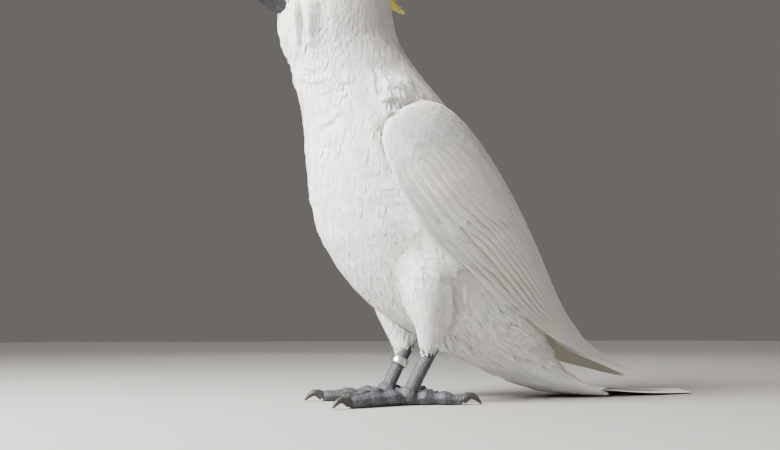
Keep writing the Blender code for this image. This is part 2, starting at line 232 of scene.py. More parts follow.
def cut_off(solid, point, normal):
    """Cuts away what lies past a plane, and closes the cut."""
    cut = bmesh.ops.bisect_plane(solid, geom=solid.verts[:] + solid.edges[:] + solid.faces[:],
                                 plane_co=Vector(point) * MM, plane_no=normal, clear_outer=True)
    rim = [e for e in cut["geom_cut"] if isinstance(e, bmesh.types.BMEdge)]
    bmesh.ops.contextual_create(solid, geom=rim)


def fused(names, voxel, smoothing, swell=0.3, keep=None):
    """One smooth closed mesh over these solids. keep cuts off what lies past a solid's (point, normal)."""
    joined = bmesh.new()
    for name in names:
        solid = bmesh.new()
        solid.from_mesh(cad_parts[name].data)
        bmesh.ops.remove_doubles(solid, verts=solid.verts, dist=0.001 * MM)
        if keep and name in keep:
            cut_off(solid, *keep[name])
        solid.normal_update()
        for v in solid.verts:
            v.co += v.normal * swell * MM
        part = bpy.data.meshes.new("part")
        solid.to_mesh(part)
        joined.from_mesh(part)
        bpy.data.meshes.remove(part)
        solid.free()
    mesh = bpy.data.meshes.new("fused")
    joined.to_mesh(mesh)
    joined.free()
    body = add_object("fused", mesh)
    remesh = body.modifiers.new("remesh", "REMESH")
    remesh.mode = "VOXEL"
    remesh.voxel_size = voxel * MM
    smooth = body.modifiers.new("smooth", "SMOOTH")
    smooth.factor = 0.5
    smooth.iterations = smoothing
    ready = body.evaluated_get(bpy.context.evaluated_depsgraph_get())
    result = bpy.data.meshes.new_from_object(ready)
    bpy.data.objects.remove(body)
    return result


# %% [markdown]
# A feather asks the surface two things over and over: where its nearest point is, and which way it faces
# there. A search tree answers the first. Blending the normals of a face's corners answers the second, so
# that feathers don't show the facets.
# %% Asking a surface
def unit(vectors):
    return vectors / np.maximum(np.linalg.norm(vectors, axis=-1, keepdims=True), 1e-9)


class Surface:
    """A smooth surface that answers where its nearest point is and which way it faces there."""

    def __init__(self, mesh):
        self.points, self.triangles = read_mesh(mesh)
        self.normals = vertex_normals(mesh)
        self.tree = BVHTree.FromPolygons(self.points.tolist(), self.triangles.tolist())

    def nearest(self, places):
        flat = places.reshape(-1, 3)
        found = [self.tree.find_nearest(p) for p in flat.tolist()]
        hits = np.array([f[0] for f in found])
        corners = self.triangles[[f[2] for f in found]]
        a, b, c = (self.points[corners[:, i]] for i in range(3))
        areas = np.stack([np.linalg.norm(np.cross(p - hits, q - hits), axis=1)
                          for p, q in ((b, c), (c, a), (a, b))], axis=1) + 1e-9
        weights = areas / areas.sum(1, keepdims=True)
        normals = unit((weights[:, :, None] * self.normals[corners]).sum(1))
        return hits.reshape(places.shape), normals.reshape(places.shape)


def ramp(x, low, high):
    """0 below low, 1 above high, and smooth between."""
    share = np.clip((x - low) / (high - low), 0, 1)
    return share * share * (3 - 2 * share)


# %% Measuring along a line
def stations(line):
    """How far along a line each of its points stands."""
    return np.concatenate([[0], np.cumsum(np.linalg.norm(np.diff(line, axis=0), axis=1))])


def read_line(x, places, rows):
    """Rows of values read at x, where places says where each row stands."""
    return np.stack([np.interp(x, places, column) for column in rows.T], -1)


# %% [markdown]
# A living bird's plumage is never taut. It parts in creases where the neck turns, bunches over the shoulders
# and ripples down the breast. These folds are pressed into the smooth surface before feathers go on it:
# each crease is a short line with a depth, and gentle noise gives the ripples and lumps.
# %% Creases
CREASES = [  # points on the left side, depth, half width; a negative depth is a swelling
    ([(-170, -22, 299), (-168, -21, 281), (-165, -16, 264)], 4.2, 2.6),
    ([(-164, -28, 302), (-162, -25, 282), (-158, -20, 262)], -1.8, 4.5),
    ([(-165, -5, 251), (-158, -17, 244), (-147, -27, 245)], 2.4, 2.2),
    ([(-162, -2, 240), (-153, -20, 234), (-141, -30, 234)], 2.2, 2.4),
    ([(-149, -22, 226), (-140, -31, 232), (-131, -36, 233)], 2.8, 2.3),
    ([(-153, -18, 227), (-137, -32, 222)], 1.8, 2.4),
    ([(-152, -15, 199), (-146, -25, 203), (-137, -33, 209)], 2.9, 2.4),
    ([(-151, -14, 186), (-144, -26, 185)], 2.4, 2.2),
    ([(-150, -4, 157), (-147, -10, 141)], -2.4, 6.0),
    ([(-144, -6, 134), (-137, -14, 114)], 3.0, 2.8),
    ([(-114, -41, 248), (-112, -44, 223)], 2.4, 2.4),
    ([(-113, -42, 233), (-84, -38, 239)], -2.9, 7.5),
    ([(-114, -44, 217), (-103, -46, 220), (-86, -45, 222)], 4.8, 2.6),
    ([(-92, -44, 105), (-80, -52, 103)], 1.6, 1.7),
    ([(-91, -45, 98), (-78, -53, 96)], 1.8, 1.7),
    ([(-90, -44, 89), (-79, -53, 88)], 1.3, 1.7),
    ([(-56, -48, 92), (-52, -42, 73), (-47, -27, 54)], 7.0, 4.0),
    ([(-40, -45, 76), (-20, -40, 54)], -2.5, 6.0),
]


def smooth_noise(places, size, seed):
    return np.array([noise.noise(Vector(p) / size + Vector((seed, 7.3, 1.9))) for p in places.tolist()])


def crease_depth(points, line, depth, width):
    """How far one crease moves each point outward: a groove between two low lips."""
    gaps, places = [], []
    for i in range(len(line) - 1):
        a, b = line[i], line[i + 1]
        part = np.clip(((points - a) @ (b - a)) / ((b - a) @ (b - a)), 0, 1)
        gaps.append(np.linalg.norm(points - a - part[:, None] * (b - a), axis=1))
        places.append((i + part) / (len(line) - 1))
    nearest = np.argmin(gaps, axis=0)
    gap = np.min(gaps, axis=0)
    place = np.choose(nearest, places)
    fade = np.sqrt(np.clip(4 * place * (1 - place), 0, 1))
    return depth * fade * (0.45 * np.exp(-((gap - 2 * width) / width) ** 2) - np.exp(-(gap / width) ** 2))


RIGHT_SHIFT = 2.5  # mm that the right side's creases stand higher, so that the sides differ


def folded(mesh):
    """Presses the creases, ripples and lumps into a mesh of the body."""
    surface = Surface(mesh)
    points = surface.points
    x, y, z = points.T
    shift = np.zeros(len(points))
    for line, depth, width in CREASES:
        for sign in (1, -1):
            drawn = np.array(line, float) * (1, sign, 1) + (0, 0, 0 if sign > 0 else RIGHT_SHIFT)
            shift += crease_depth(points, drawn, depth, width)
    ripples = smooth_noise(points * (0.35, 0.35, 1.0), 8.0, 12.0)
    lumps = smooth_noise(points, 9.0, 31.0)
    on_breast = ramp(-x - 0.3 * (z - 150), 80, 105) * ramp(z, 110, 135) * (1 - ramp(z, 262, 285))
    on_vent = ramp(x, -62, -40) * (1 - ramp(z, 62, 88)) * (1 - ramp(x, 30, 60))
    on_vent *= 1 - ramp(np.abs(y), 46, 50)
    on_chin = ramp(-x, 158, 168) * ramp(z, 232, 245) * (1 - ramp(z, 288, 300))
    shift += 1.1 * ripples * on_breast + 2.2 * lumps * on_vent + 2.6 * lumps * on_chin
    moved = (points + surface.normals * shift[:, None]) * MM
    mesh.vertices.foreach_set("co", moved.astype(np.float32).ravel())
    mesh.update()
    return mesh


# %% [markdown]
# The creases go into the body's surface. The wings and the tail are smooth, and have surfaces of their own.
# %% The surfaces of body, wings and tail
BODY = ["head", "neck", "trunk", "thigh_left", "thigh_right"]
WINGS = ["wing_left", "wing_right"]
WING_CUT = ((-42, 0, 112), (0.74, 0, -0.67))  # past here a folded wing is all quills
body_mesh = fused(BODY + ["tail"], 2.2, 14, keep={"tail": ((100, 0, 10), (1, 0, 0))})
body = Surface(folded(body_mesh))
wings = {side: Surface(fused(["wing_" + side], 1.8, 10)) for side in SIDES}
tail_surface = Surface(fused(["tail"], 2.0, 12))
print("body surface:", len(body.triangles), "triangles; a wing:", len(wings["left"].triangles))

# %% [markdown]
# ## How the coat lies
#
# A groomer describes a coat by a few strokes: here it runs back, there down, here it is short and there
# it is loose. Each row below is such a stroke. Between the strokes every value is blended by distance, so
# direction, length, width, spacing, looseness and ruffling change smoothly over the whole bird.
# %% The strokes of the coat
# place, direction, length, width, spacing, loose (0 lies flat, 1 hangs free), ruffle (0 neat, 1 tousled)
STROKES = [
    ((-172, 17, 338), (0.75, 0.25, 0.30), 6.5, 2.8, 1.8, 0.0, 0.3),
    ((-166, 0, 353), (0.75, 0, 0.60), 8.0, 3.2, 2.0, 0.0, 0.3),
    ((-158, 22, 351), (0.90, 0.1, 0.25), 8.5, 3.3, 2.1, 0.0, 0.3),
    ((-140, 0, 368), (1, 0, -0.05), 13.0, 4.6, 2.8, 0.0, 0.3),
    ((-133, 24, 356), (0.95, 0.1, -0.30), 13.0, 4.4, 2.7, 0.0, 0.3),
    ((-144, 32, 334), (0.80, 0.1, -0.55), 9.5, 3.5, 2.1, 0.0, 0.3),
    ((-167, 26, 322), (-0.10, 0.1, -1.0), 8.5, 3.2, 2.0, 0.05, 0.5),
    ((-160, 29, 308), (-0.30, 0.0, -1.0), 11.0, 4.0, 2.3, 0.05, 0.5),
    ((-160, 26, 284), (-0.22, 0.0, -1.0), 14.0, 4.8, 2.7, 0.1, 0.6),
    ((-146, 34, 303), (0.05, 0.1, -1.0), 13.5, 4.8, 2.6, 0.1, 0.5),
    ((-132, 36, 318), (0.45, 0.1, -0.85), 14.5, 5.2, 2.8, 0.0, 0.4),
    ((-92, 0, 330), (0.20, 0, -1), 18.0, 6.8, 3.5, 0.0, 0.3),
    ((-103, 28, 318), (0.30, 0.05, -0.95), 17.0, 6.4, 3.3, 0.0, 0.3),
    ((-176, 0, 297), (0.35, 0, -0.90), 9.0, 4.0, 2.2, 0.06, 1.0),
    ((-170, 0, 275), (0.10, 0, -1), 13.0, 5.4, 2.8, 0.06, 1.1),
    ((-168, 0, 250), (0.08, 0, -1), 17.0, 6.8, 3.4, 0.03, 0.8),
    ((-128, 37, 265), (0.20, 0, -1), 20.0, 8.0, 4.0, 0.0, 0.4),
    ((-76, 0, 275), (0.30, 0, -0.95), 23.0, 10.0, 4.6, 0.0, 0.2),
    ((-152, 30, 236), (0.15, 0.1, -1), 19.0, 7.5, 3.8, 0.04, 1.2),
    ((-118, 40, 232), (0.30, 0.1, -0.95), 22.0, 8.5, 4.3, 0.0, 0.6),
    ((-156, 0, 215), (0.10, 0, -1), 24.0, 10.0, 4.7, 0.0, 0.5),
    ((-150, 0, 165), (0.15, 0, -1), 27.0, 12.0, 5.2, 0.0, 0.4),
    ((-122, 48, 195), (0.30, 0.05, -0.95), 25.0, 11.0, 5.0, 0.0, 0.4),
    ((-102, 54, 140), (0.40, 0, -0.90), 27.0, 12.0, 5.2, 0.0, 0.3),
    ((-126, 0, 105), (0.50, 0, -0.85), 27.0, 11.0, 5.1, 0.05, 0.4),
    ((-92, 36, 88), (0.65, -0.1, -0.75), 27.0, 10.0, 5.0, 0.08, 0.5),
    ((-78, 0, 62), (0.85, 0, -0.50), 28.0, 9.0, 4.8, 0.1, 0.7),
    ((-28, 0, 36), (0.97, 0, -0.20), 32.0, 6.0, 3.5, 0.25, 1.2),
    ((-34, 38, 66), (0.70, 0.05, -0.70), 30.0, 6.0, 3.4, 0.22, 1.3),
    ((-10, 34, 58), (0.90, 0.05, -0.50), 32.0, 6.0, 3.5, 0.25, 1.3),
    ((16, 26, 42), (0.94, 0.05, -0.35), 34.0, 6.5, 3.7, 0.18, 1.1),
    ((20, 0, 18), (1, 0, -0.05), 36.0, 8.0, 4.3, 0.1, 0.8),
    ((-60, 0, 250), (0.50, 0, -0.87), 26.0, 13.0, 5.3, 0.0, 0.2),
    ((-78, 33, 236), (0.45, 0.1, -0.88), 22.0, 8.5, 4.5, 0.0, 0.3),
    ((-28, 0, 220), (0.60, 0, -0.80), 30.0, 16.0, 6.0, 0.0, 0.1),
    ((0, 0, 175), (0.50, 0, -0.87), 33.0, 18.0, 6.8, 0.0, 0.1),
    ((35, 0, 100), (0.50, 0, -0.87), 33.0, 18.0, 6.8, 0.0, 0.1),
    ((55, 0, 42), (0.95, 0, -0.30), 38.0, 17.0, 7.0, 0.0, 0.2),
    ((-76, 38, 118), (0.12, 0, -1), 22.0, 8.5, 4.2, 0.0, 0.4),
    ((-70, 42, 84), (0.05, -0.05, -1), 21.0, 6.5, 3.6, 0.08, 0.7),
    ((-66, 31, 60), (0.05, 0, -1), 20.0, 5.2, 2.5, 0.12, 0.8),
    ((-66, 28, 43), (-0.12, 0, -1), 19.0, 4.4, 1.6, 0.30, 0.9),
]
DIRECTION, LENGTH, WIDTH, SPACING, LOOSE, RUFFLE = slice(0, 3), 3, 4, 5, 6, 7


def stroke_table(strokes, both_sides=True):
    places, values = [], []
    for place, direction, *rest in strokes:
        for side in ((1, -1) if both_sides and place[1] else (1,)):
            places.append((place[0], place[1] * side, place[2]))
            x, y, z = Vector(direction).normalized()
            values.append((x, y * side, z, *rest))
    return np.array(places, float), np.array(values, float)


def combed(places, table):
    """The blended stroke at each place."""
    centres, values = table
    squared = ((places[:, None, :] - centres[None]) ** 2).sum(2) + 4.0
    weights = squared ** -2.2
    return (weights / weights.sum(1, keepdims=True)) @ values


coat = stroke_table(STROKES)
print("strokes:", len(coat[0]))

# %% [markdown]
# ## One vane
#
# A body feather is a soft oval vane, a little hollow below. A grid gives its upper face, so that barbs and
# a ragged tip can be moved freely, and one n-gon closes it below. The template is made once by bmesh, and
# each feather is a warped copy of it. The rim is split, so light breaks cleanly at each feather's edge.
# %% Closing a shape
def outward_triangles(bm):
    """Turns every face outward and cuts it into triangles."""
    bmesh.ops.recalc_face_normals(bm, faces=bm.faces)
    if bm.calc_volume(signed=True) < 0:
        bmesh.ops.reverse_faces(bm, faces=bm.faces)
    bmesh.ops.triangulate(bm, faces=bm.faces)


def triangle_corners(bm):
    bm.verts.index_update()
    return np.array([[v.index for v in f.verts] for f in bm.faces])


# %% The vane templates
class Vane:
    """Vertices as (along 0..1, across -1..1, layer 0 or 1) and triangles."""

    def __init__(self, along, across, thick=False):
        bm = bmesh.new()
        bmesh.ops.create_grid(bm, x_segments=across, y_segments=along, size=1.0)
        known = [bm.verts.layers.float.new(name) for name in ("along", "across", "layer")]
        for v in bm.verts:
            v[known[0]], v[known[1]] = (v.co.y + 1) / 2, v.co.x
        for v in bm.verts:  # an oval dome, so that the underside closes without flat slivers
            u, w = v[known[0]], v[known[1]]
            v.co = (w * (0.7 + 0.3 * math.sin(math.pi * u)), 2 * u * (1 - 0.2 * w * w) + 0.15 * w * w,
                    0.3 * (1 - w * w) * (1 - (2 * u - 1) ** 2))
        rim = [e for e in bm.edges if e.is_boundary]
        if thick:
            copy = bmesh.ops.duplicate(bm, geom=bm.faces[:])["geom"]
            for v in (g for g in copy if isinstance(g, bmesh.types.BMVert)):
                v[known[2]] = 1.0
                v.co.z -= 0.4
            rim += [g for g in copy if isinstance(g, bmesh.types.BMEdge) and g.is_boundary]
            bmesh.ops.bridge_loops(bm, edges=rim)
        else:
            bmesh.ops.contextual_create(bm, geom=rim)
        outward_triangles(bm)
        bmesh.ops.split_edges(bm, edges=rim)
        bm.verts.ensure_lookup_table()
        self.triangles = triangle_corners(bm)
        self.along, self.across, self.layer = (np.array([v[k] for v in bm.verts]) for k in known)
        bm.free()


small_vane = Vane(4, 4)
body_vane = Vane(6, 10)
quill_vane = Vane(22, 10, thick=True)
print("triangles in a vane:", [len(v.triangles) for v in (small_vane, body_vane, quill_vane)])

# %% [markdown]
# A mesh made face by face in Python is slow. So all the feathers of a region are gathered in arrays, and
# the mesh reads them in one go. On the bake map each feather is a small patch at its root's own place.
# %% Writing arrays as a piece
BAKE_PATCH = 0.003  # width of one tuft on the bake map


class Feathers:
    """Arrays of many feathers that become one mesh."""

    def __init__(self):
        self.parts = {kind: [] for kind in ("points", "triangles", "bake", "vane", "tint", "wash")}
        self.count = 0

    def add(self, template, points, bake, vane, tint, wash):
        feathers, corners = points.shape[:2]
        offsets = (np.arange(feathers) * corners)[:, None, None] + self.count
        self.count += feathers * corners
        self.parts["triangles"].append((template.triangles[None] + offsets).reshape(-1, 3))
        self.parts["tint"].append(tint.ravel())
        self.parts["wash"].append(wash.ravel())
        for kind, values in (("points", points), ("bake", bake), ("vane", vane)):
            self.parts[kind].append(values.reshape(-1, values.shape[-1]))

    def mirrored(self):
        """The same feathers on the bird's other side."""
        other = Feathers()
        other.count = self.count
        other.parts = dict(self.parts)
        other.parts["points"] = [points * (1, -1, 1) for points in self.parts["points"]]
        other.parts["triangles"] = [triangles[:, ::-1] for triangles in self.parts["triangles"]]
        return other


def write_piece(name, points, triangles, material, maps=(), attributes=()):
    mesh = bpy.data.meshes.new(name)
    mesh.vertices.add(len(points))
    mesh.vertices.foreach_set("co", (points * MM).astype(np.float32).ravel())
    mesh.loops.add(triangles.size)
    mesh.loops.foreach_set("vertex_index", triangles.astype(np.int32).ravel())
    mesh.polygons.add(len(triangles))
    mesh.polygons.foreach_set("loop_start", np.arange(0, triangles.size, 3, dtype=np.int32))
    mesh.update(calc_edges=True)
    mesh.polygons.foreach_set("use_smooth", np.ones(len(triangles), bool))
    for map_name, coordinates in maps:
        layer = mesh.uv_layers.new(name=map_name)
        layer.data.foreach_set("uv", coordinates[triangles.ravel()].astype(np.float32).ravel())
    for attribute_name, values in attributes:
        layer = mesh.attributes.new(attribute_name, "FLOAT", "POINT")
        layer.data.foreach_set("value", values.astype(np.float32))
    mesh.materials.append(material)
    piece = add_object(name, mesh)
    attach(piece, "root")
    print(f"{name}: {len(triangles)} triangles")
    return piece


def write_feathers(name, feathers, material=plumage):
    joined = {kind: np.concatenate(arrays) for kind, arrays in feathers.parts.items()}
    return write_piece(name, joined["points"], joined["triangles"], material,
                       maps=[("OFBake", joined["bake"]), ("vane", joined["vane"])],
                       attributes=[("tint", joined["tint"]), ("wash", joined["wash"])])


# %% [markdown]
# ## Laying feathers on a surface
#
# From its root each feather walks down the coat in short steps, and its barbs reach out sideways from that
# line. Every point is then set on the surface and lifted, low at the root and high at the tip, so that each
# feather lies over the next, like tiles. Loose feathers keep part of their straight course instead, and
# stand off the body.
# %% Sowing roots
CLOSENESS = 0.80  # below 1 the roots stand closer than the strokes say


def spread(darts, spacing):
    """The darts that keep their spacing from those thrown before them."""
    cell = spacing.max()
    grid, roots = {}, []
    for dart, gap in zip(darts.tolist(), spacing.tolist()):
        home = tuple(int(math.floor(x / cell)) for x in dart)
        near = (grid.get((home[0] + i, home[1] + j, home[2] + k), ())
                for i in (-1, 0, 1) for j in (-1, 0, 1) for k in (-1, 0, 1))
        if all((dart[0] - p[0]) ** 2 + (dart[1] - p[1]) ** 2 + (dart[2] - p[2]) ** 2 > gap * gap
               for some in near for p in some):
            grid.setdefault(home, []).append(dart)
            roots.append(dart)
    return np.array(roots)


def sow(surface, table, rng, tries, keep):
    """Roots spread over the surface at the coat's spacing, by throwing darts at it."""
    a, b, c = (surface.points[surface.triangles[:, i]] for i in range(3))
    areas = np.linalg.norm(np.cross(b - a, c - a), axis=1)
    chosen = rng.choice(len(areas), tries, p=areas / areas.sum())
    u, v = rng.random(tries), rng.random(tries)
    flip = u + v > 1
    u[flip], v[flip] = 1 - u[flip], 1 - v[flip]
    darts = a[chosen] + (b - a)[chosen] * u[:, None] + (c - a)[chosen] * v[:, None]
    darts = darts[keep(darts)]
    return spread(darts, combed(darts, table)[:, SPACING] * CLOSENESS)


def cylinder_map(places, foot, top):
    """Unwraps places round the line from foot to top, into the unit square."""
    foot, top = np.array(foot, float), np.array(top, float)
    axis = unit(top - foot)
    side = unit(np.cross(axis, (0, 1, 0) if abs(axis[1]) < 0.9 else (1, 0, 0)))
    other = np.cross(axis, side)
    away = places - foot
    around = np.arctan2(away @ other, away @ side) / (2 * math.pi) + 0.5
    up = (away @ axis) / np.linalg.norm(top - foot)
    return np.clip(np.stack([around, up], -1), 0.004, 0.993)


# %% [markdown]
# A straight feather would stick out of a round body, so the line of each one is walked: a short step the
# way the coat runs there, back to the surface, and again. A ruffled feather turns aside on its way.
# %% Walking down the coat
STEPS = 5
WAYWARD = 0.6  # radians that a ruffled feather turns aside
UNEVEN = 0.08


def walk(surface, roots, table, length, turn):
    """Lines of points down the coat from each root, with the surface's normals and the ways along."""
    spot, up = surface.nearest(roots)
    line, ups, ways = [spot], [up], []
    for _ in range(STEPS):
        wish = combed(spot, table)[:, DIRECTION]
        flat = unit(wish - up * (wish * up).sum(1, keepdims=True))
        ways.append(flat * np.cos(turn)[:, None] + np.cross(flat, up) * np.sin(turn)[:, None])
        spot, up = surface.nearest(spot + ways[-1] * (length / STEPS)[:, None])
        line.append(spot)
        ups.append(up)
    ways.append(ways[-1])
    return (np.stack(x, 1) for x in (line, ups, ways))


# %% [markdown]
# The tip of a body feather is rounded and its edge is worn, so no two outlines are alike. Its root is sunk
# in the coat, its middle is arched and its tip stands free, which makes the small shadows between rows.
# %% The outline and the height of a feather
COLUMNS = 64  # random numbers for the worn end of one feather
DEEPEST = 1.9  # mm that a root lies in at most
ARCH = 0.022  # height of a vane's arch, as a share of its half width
ROLL = 0.03  # how far it may tip on edge


def vane_outline(template, n, ragged, pointed, loose, rng):
    """Along and across for n feathers, with each tip rounded and its end worn."""
    tip = 1 + ragged * (1 + 9 * loose) * (2 * rng.random((n, COLUMNS)) - 1.3)
    column = np.round((template.across + 1) * 8).astype(int)
    across = template.across[None] * np.ones((n, 1))
    drawn_in = (pointed + 0.15 * loose) * np.abs(across) ** 1.8
    end = (1 - drawn_in * template.along) * (1 + (tip[:, column] - 1) * template.along ** 2)
    return np.clip(template.along[None] * end, 0, 1.25), across


def vane_height(along, across, lateral, length, half, ruffle, depth, lift, rng):
    """How far each point stands off the surface, in mm."""
    each = (len(length), 1)
    sink = np.minimum(depth * length, DEEPEST)[:, None]
    roll = ROLL * (rng.random(each) - 0.5) * lateral
    arch = ARCH * half[:, None] * (1 - across ** 2) * np.sin(np.clip(along, 0, 1) * math.pi)
    fringe = np.minimum(ruffle, 0.9)[:, None] * (0.03 + 0.22 * rng.random(each)) * along ** 2
    fall = np.clip(1 - along, 0, 1) ** 1.1
    step = (0.07 + 0.29 * np.clip(ruffle, 0, 1)) * np.clip(half / 3, 0.4, 0.62)
    level = 0.08 + step[:, None] * rng.random(each)  # each lies over or under the next
    return -sink * fall + level + lift * along + arch + roll * along + fringe


def along_walk(walked, along):
    """The values of a walk at shares of its length."""
    position = np.clip(along, 0, 1) * STEPS
    low = np.minimum(position.astype(int), STEPS - 1)
    part = (position - low)[..., None]
    index = np.arange(len(walked))[:, None]
    return walked[index, low] * (1 - part) + walked[index, low + 1] * part


# %% Laying feathers
TONE = 0.95  # how light a feather is past its root
TONE_SPREAD = 0.09
# painted shade: the root is drawn darker where the feathers above would shade it
ROOT_PAINTED_SHADE = 0.25  # how much darker its root is
LENGTH_SPREAD = 0.16
WIDTH_SPREAD = 0.2


def lay(feathers, surface, roots, table, template, rng, bake_axis, depth=0.05, stretch=1.0, wash=None,
        ragged=0.02, lift=0.0, pointed=0.5):
    """Adds one feather for each root. depth is how far a root lies in, as a share of the length."""
    strokes = combed(roots, table)
    n = len(roots)
    length = strokes[:, LENGTH] * (1 + LENGTH_SPREAD * (rng.random(n) - 0.5)) * stretch
    half = strokes[:, WIDTH] * (1 + WIDTH_SPREAD * (rng.random(n) - 0.5)) / 2
    ruffle, loose = strokes[:, RUFFLE], strokes[:, LOOSE]
    turn = ruffle * WAYWARD * smooth_noise(roots, 9.0, 3.1) + UNEVEN * (rng.random(n) - 0.5)
    line, ups, ways = walk(surface, roots, table, length, turn)
    along, across = vane_outline(template, n, ragged, pointed, loose[:, None], rng)
    reach = (along * length[:, None])[..., None]
    flare = 0.45 + 0.55 * np.sin(np.clip(template.along * 1.5, 0, 1) * math.pi / 2)
    lateral = across * flare[None] * half[:, None]

    way, up = unit(along_walk(ways, along)), unit(along_walk(ups, along))
    past = way * (np.maximum(along - 1, 0) * length[:, None])[..., None]
    centre = along_walk(line, along) + past
    hits, facing = surface.nearest(centre + np.cross(way, up) * lateral[..., None])
    height = vane_height(along, across, lateral, length, half, ruffle, depth, lift, rng)[..., None]
    lying = hits + facing * height
    hang = unit(strokes[:, None, DIRECTION] + 0.2 * ways[:, :1])
    straight = (line[:, :1] + hang * reach + np.cross(hang, ups[:, :1]) * lateral[..., None]
                + ups[:, :1] * height)
    freed = (np.clip(loose * (0.6 + 0.8 * rng.random(n)), 0, 1)[:, None] * along ** 1.5)[..., None]

    ones = np.ones((n, 1))
    patch = np.stack([template.across / 2 * ones, template.along * ones], -1)
    # painted shade darkens each root, where it lies under the feathers above
    tone = TONE + TONE_SPREAD * (rng.random((n, 1)) - 0.5) - ROOT_PAINTED_SHADE * np.clip(1 - along * 2.2, 0, 1)
    yellow = wash(roots)[:, None] if wash else 0 * ones
    feathers.add(template, points=lying * (1 - freed) + straight * freed,
                 bake=cylinder_map(roots, *bake_axis)[:, None, :] + BAKE_PATCH * patch,
                 vane=np.stack([lateral, reach[..., 0]], -1),
                 tint=np.clip(tone, 0, 1), wash=yellow + 0 * along)


def sown_feathers(surface, table, template, seed, tries, keep, bake_axis, prune=None, **options):
    """Sows roots where keep allows, drops those whose normals prune names, and lays a feather on each."""
    draw = np.random.default_rng(seed)
    roots = sow(surface, table, draw, tries, keep)
    if prune:
        roots = roots[~prune(surface.nearest(roots)[1])]
    feathers = Feathers()
    lay(feathers, surface, roots, table, template, draw, bake_axis, **options)
    return feathers


# %% [markdown]
# ## Body feathers
#
# Roots hidden under a wing, inside the bill or under the eye ring are left out. A ray from the root tells
# whether something covers it. The coat is then parted by region, so that no piece is too heavy.
# %% What covers the body
def solids_tree(names):
    """One search tree of several solids, in mm."""
    points, triangles, count = [], [], 0
    for name in names:
        own_points, own_triangles = read_mesh(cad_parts[name].data)
        points.append(own_points)
        triangles.append(own_triangles + count)
        count += len(own_points)
    return BVHTree.FromPolygons(np.concatenate(points).tolist(), np.concatenate(triangles).tolist())


BILLS = ["upper_bill", "lower_bill"]
covers = solids_tree(WINGS + BILLS)
eyes = {side: (sum(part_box("eye_" + side), Vector()) / 2) / MM for side in SIDES}
EYE_RADIUS = (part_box("eye_left")[1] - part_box("eye_left")[0]).x / MM / 2
RING_RADIUS = EYE_RADIUS + 1.3  # the bare ring round the eye
# a place is hidden when it is covered straight out, and also as seen from below and from behind
LEANS = [(0, 0, 0), (-0.3, 0, -3.0), (0.9, 0, -0.5), (-0.6, 0, -0.4), (-0.3, 0, -1.0), (0.5, 0, -1.0)]
COVER_REACH = 30.0


def hidden(places, normals):
    covered = np.ones(len(places), bool)
    for lean in LEANS:
        rays = unit(normals + lean)
        hits = [covers.ray_cast(Vector(p) - Vector(d) * 2, Vector(d), COVER_REACH)[0]
                for p, d in zip(places.tolist(), rays.tolist())]
        covered &= np.array([hit is not None for hit in hits])
    return covered


def clear_of_eyes(places, directions, lengths):
    clear = np.ones(len(places), bool)
    for eye in eyes.values():
        centre = np.array(eye)
        for share in (0.0, 0.5, 0.8):
            spot = places + directions * (lengths * share)[:, None]
            clear &= np.linalg.norm(spot - centre, axis=1) > RING_RADIUS
    return clear


# %% [markdown]
# The roots are sown over the whole body at once, so that no seam shows between regions. Those that nobody
# could see are left out here, so that the mesh stays lighter.
# %% Sowing the body
rng = np.random.default_rng(11)
roots = sow(body, coat, rng, 160000, lambda p: (p[:, 2] > 9) & (p[:, 0] < 60))
normals = body.nearest(roots)[1]
strokes = combed(roots, coat)
tips, tip_normals = body.nearest(roots + strokes[:, DIRECTION] * strokes[:, LENGTH, None] * 0.9)
under_wing = hidden(roots, normals) & hidden(tips, tip_normals)
for margin in ((0, 0, -12), (10, 0, -10)):  # feathers reach a little way in under the wing's edge
    under_wing &= hidden(*body.nearest(roots + margin))
under_ankle = (normals[:, 2] < -0.5) & (roots[:, 2] < 50) & (np.abs(roots[:, 0] + 66) < 22)
clear = clear_of_eyes(roots, strokes[:, DIRECTION], strokes[:, LENGTH])
roots = roots[~under_wing & ~under_ankle & clear]
print("body feathers:", len(roots))


# %% [markdown]
# Each region becomes one piece with its own bake map. Short feathers use the small template, as their
# barbs are too fine to be seen one by one.
# %% Parting the body coat into pieces
def cheek_wash(places):
    """A breath of yellow on the ear coverts."""
    away = np.linalg.norm(places * (1, 0, 1) - (-132, 0, 318), axis=1)
    return 0.16 * np.exp(-(away / 14.0) ** 2)


def region(places):
    x, y, z = places.T
    names = np.full(len(places), "breast", dtype="<U12")
    names[z > 288] = "head"
    names[(z <= 288) & (z > 236 - 0.5 * (x + 120))] = "neck"
    trunk = names == "breast"
    names[trunk & (x + 40 + (z - 150) * 0.62 > 0)] = "back"
    names[trunk & (z < 118) & (names != "back")] = "belly"
    for side, sign in SIDES.items():
        leg = np.hypot(x + 71, y - sign * 37)
        names[(z < 118) & (leg < 26) & (y * sign > 12)] = "thigh_" + side
    return names


# the line that each region's bake map is unwrapped round
AXES = {"head": ((-130, 0, 285), (-130, 0, 372)), "neck": ((-115, 0, 215), (-120, 0, 292)),
        "breast": ((-80, 0, 95), (-125, 0, 262)), "belly": ((30, 0, 30), (-100, 0, 112)),
        "back": ((60, 0, 30), (-80, 0, 262)), "thigh_left": ((-66, -30, 36), (-74, -34, 122)),
        "thigh_right": ((-61, 30, 36), (-69, 34, 122))}
SHORT = 11.0  # a feather under this length needs few facets
regions = region(roots)
for name, axis in AXES.items():
    chosen = roots[regions == name]
    coat_piece = Feathers()
    short = (combed(chosen, coat)[:, LENGTH] < SHORT) | (name == "head")
    for group, vane in ((chosen[short], small_vane), (chosen[~short], body_vane)):
        if len(group):
            lay(coat_piece, body, group, coat, vane, rng, axis, wash=cheek_wash if name == "head" else None)
    write_feathers(name + "_feathers", coat_piece)

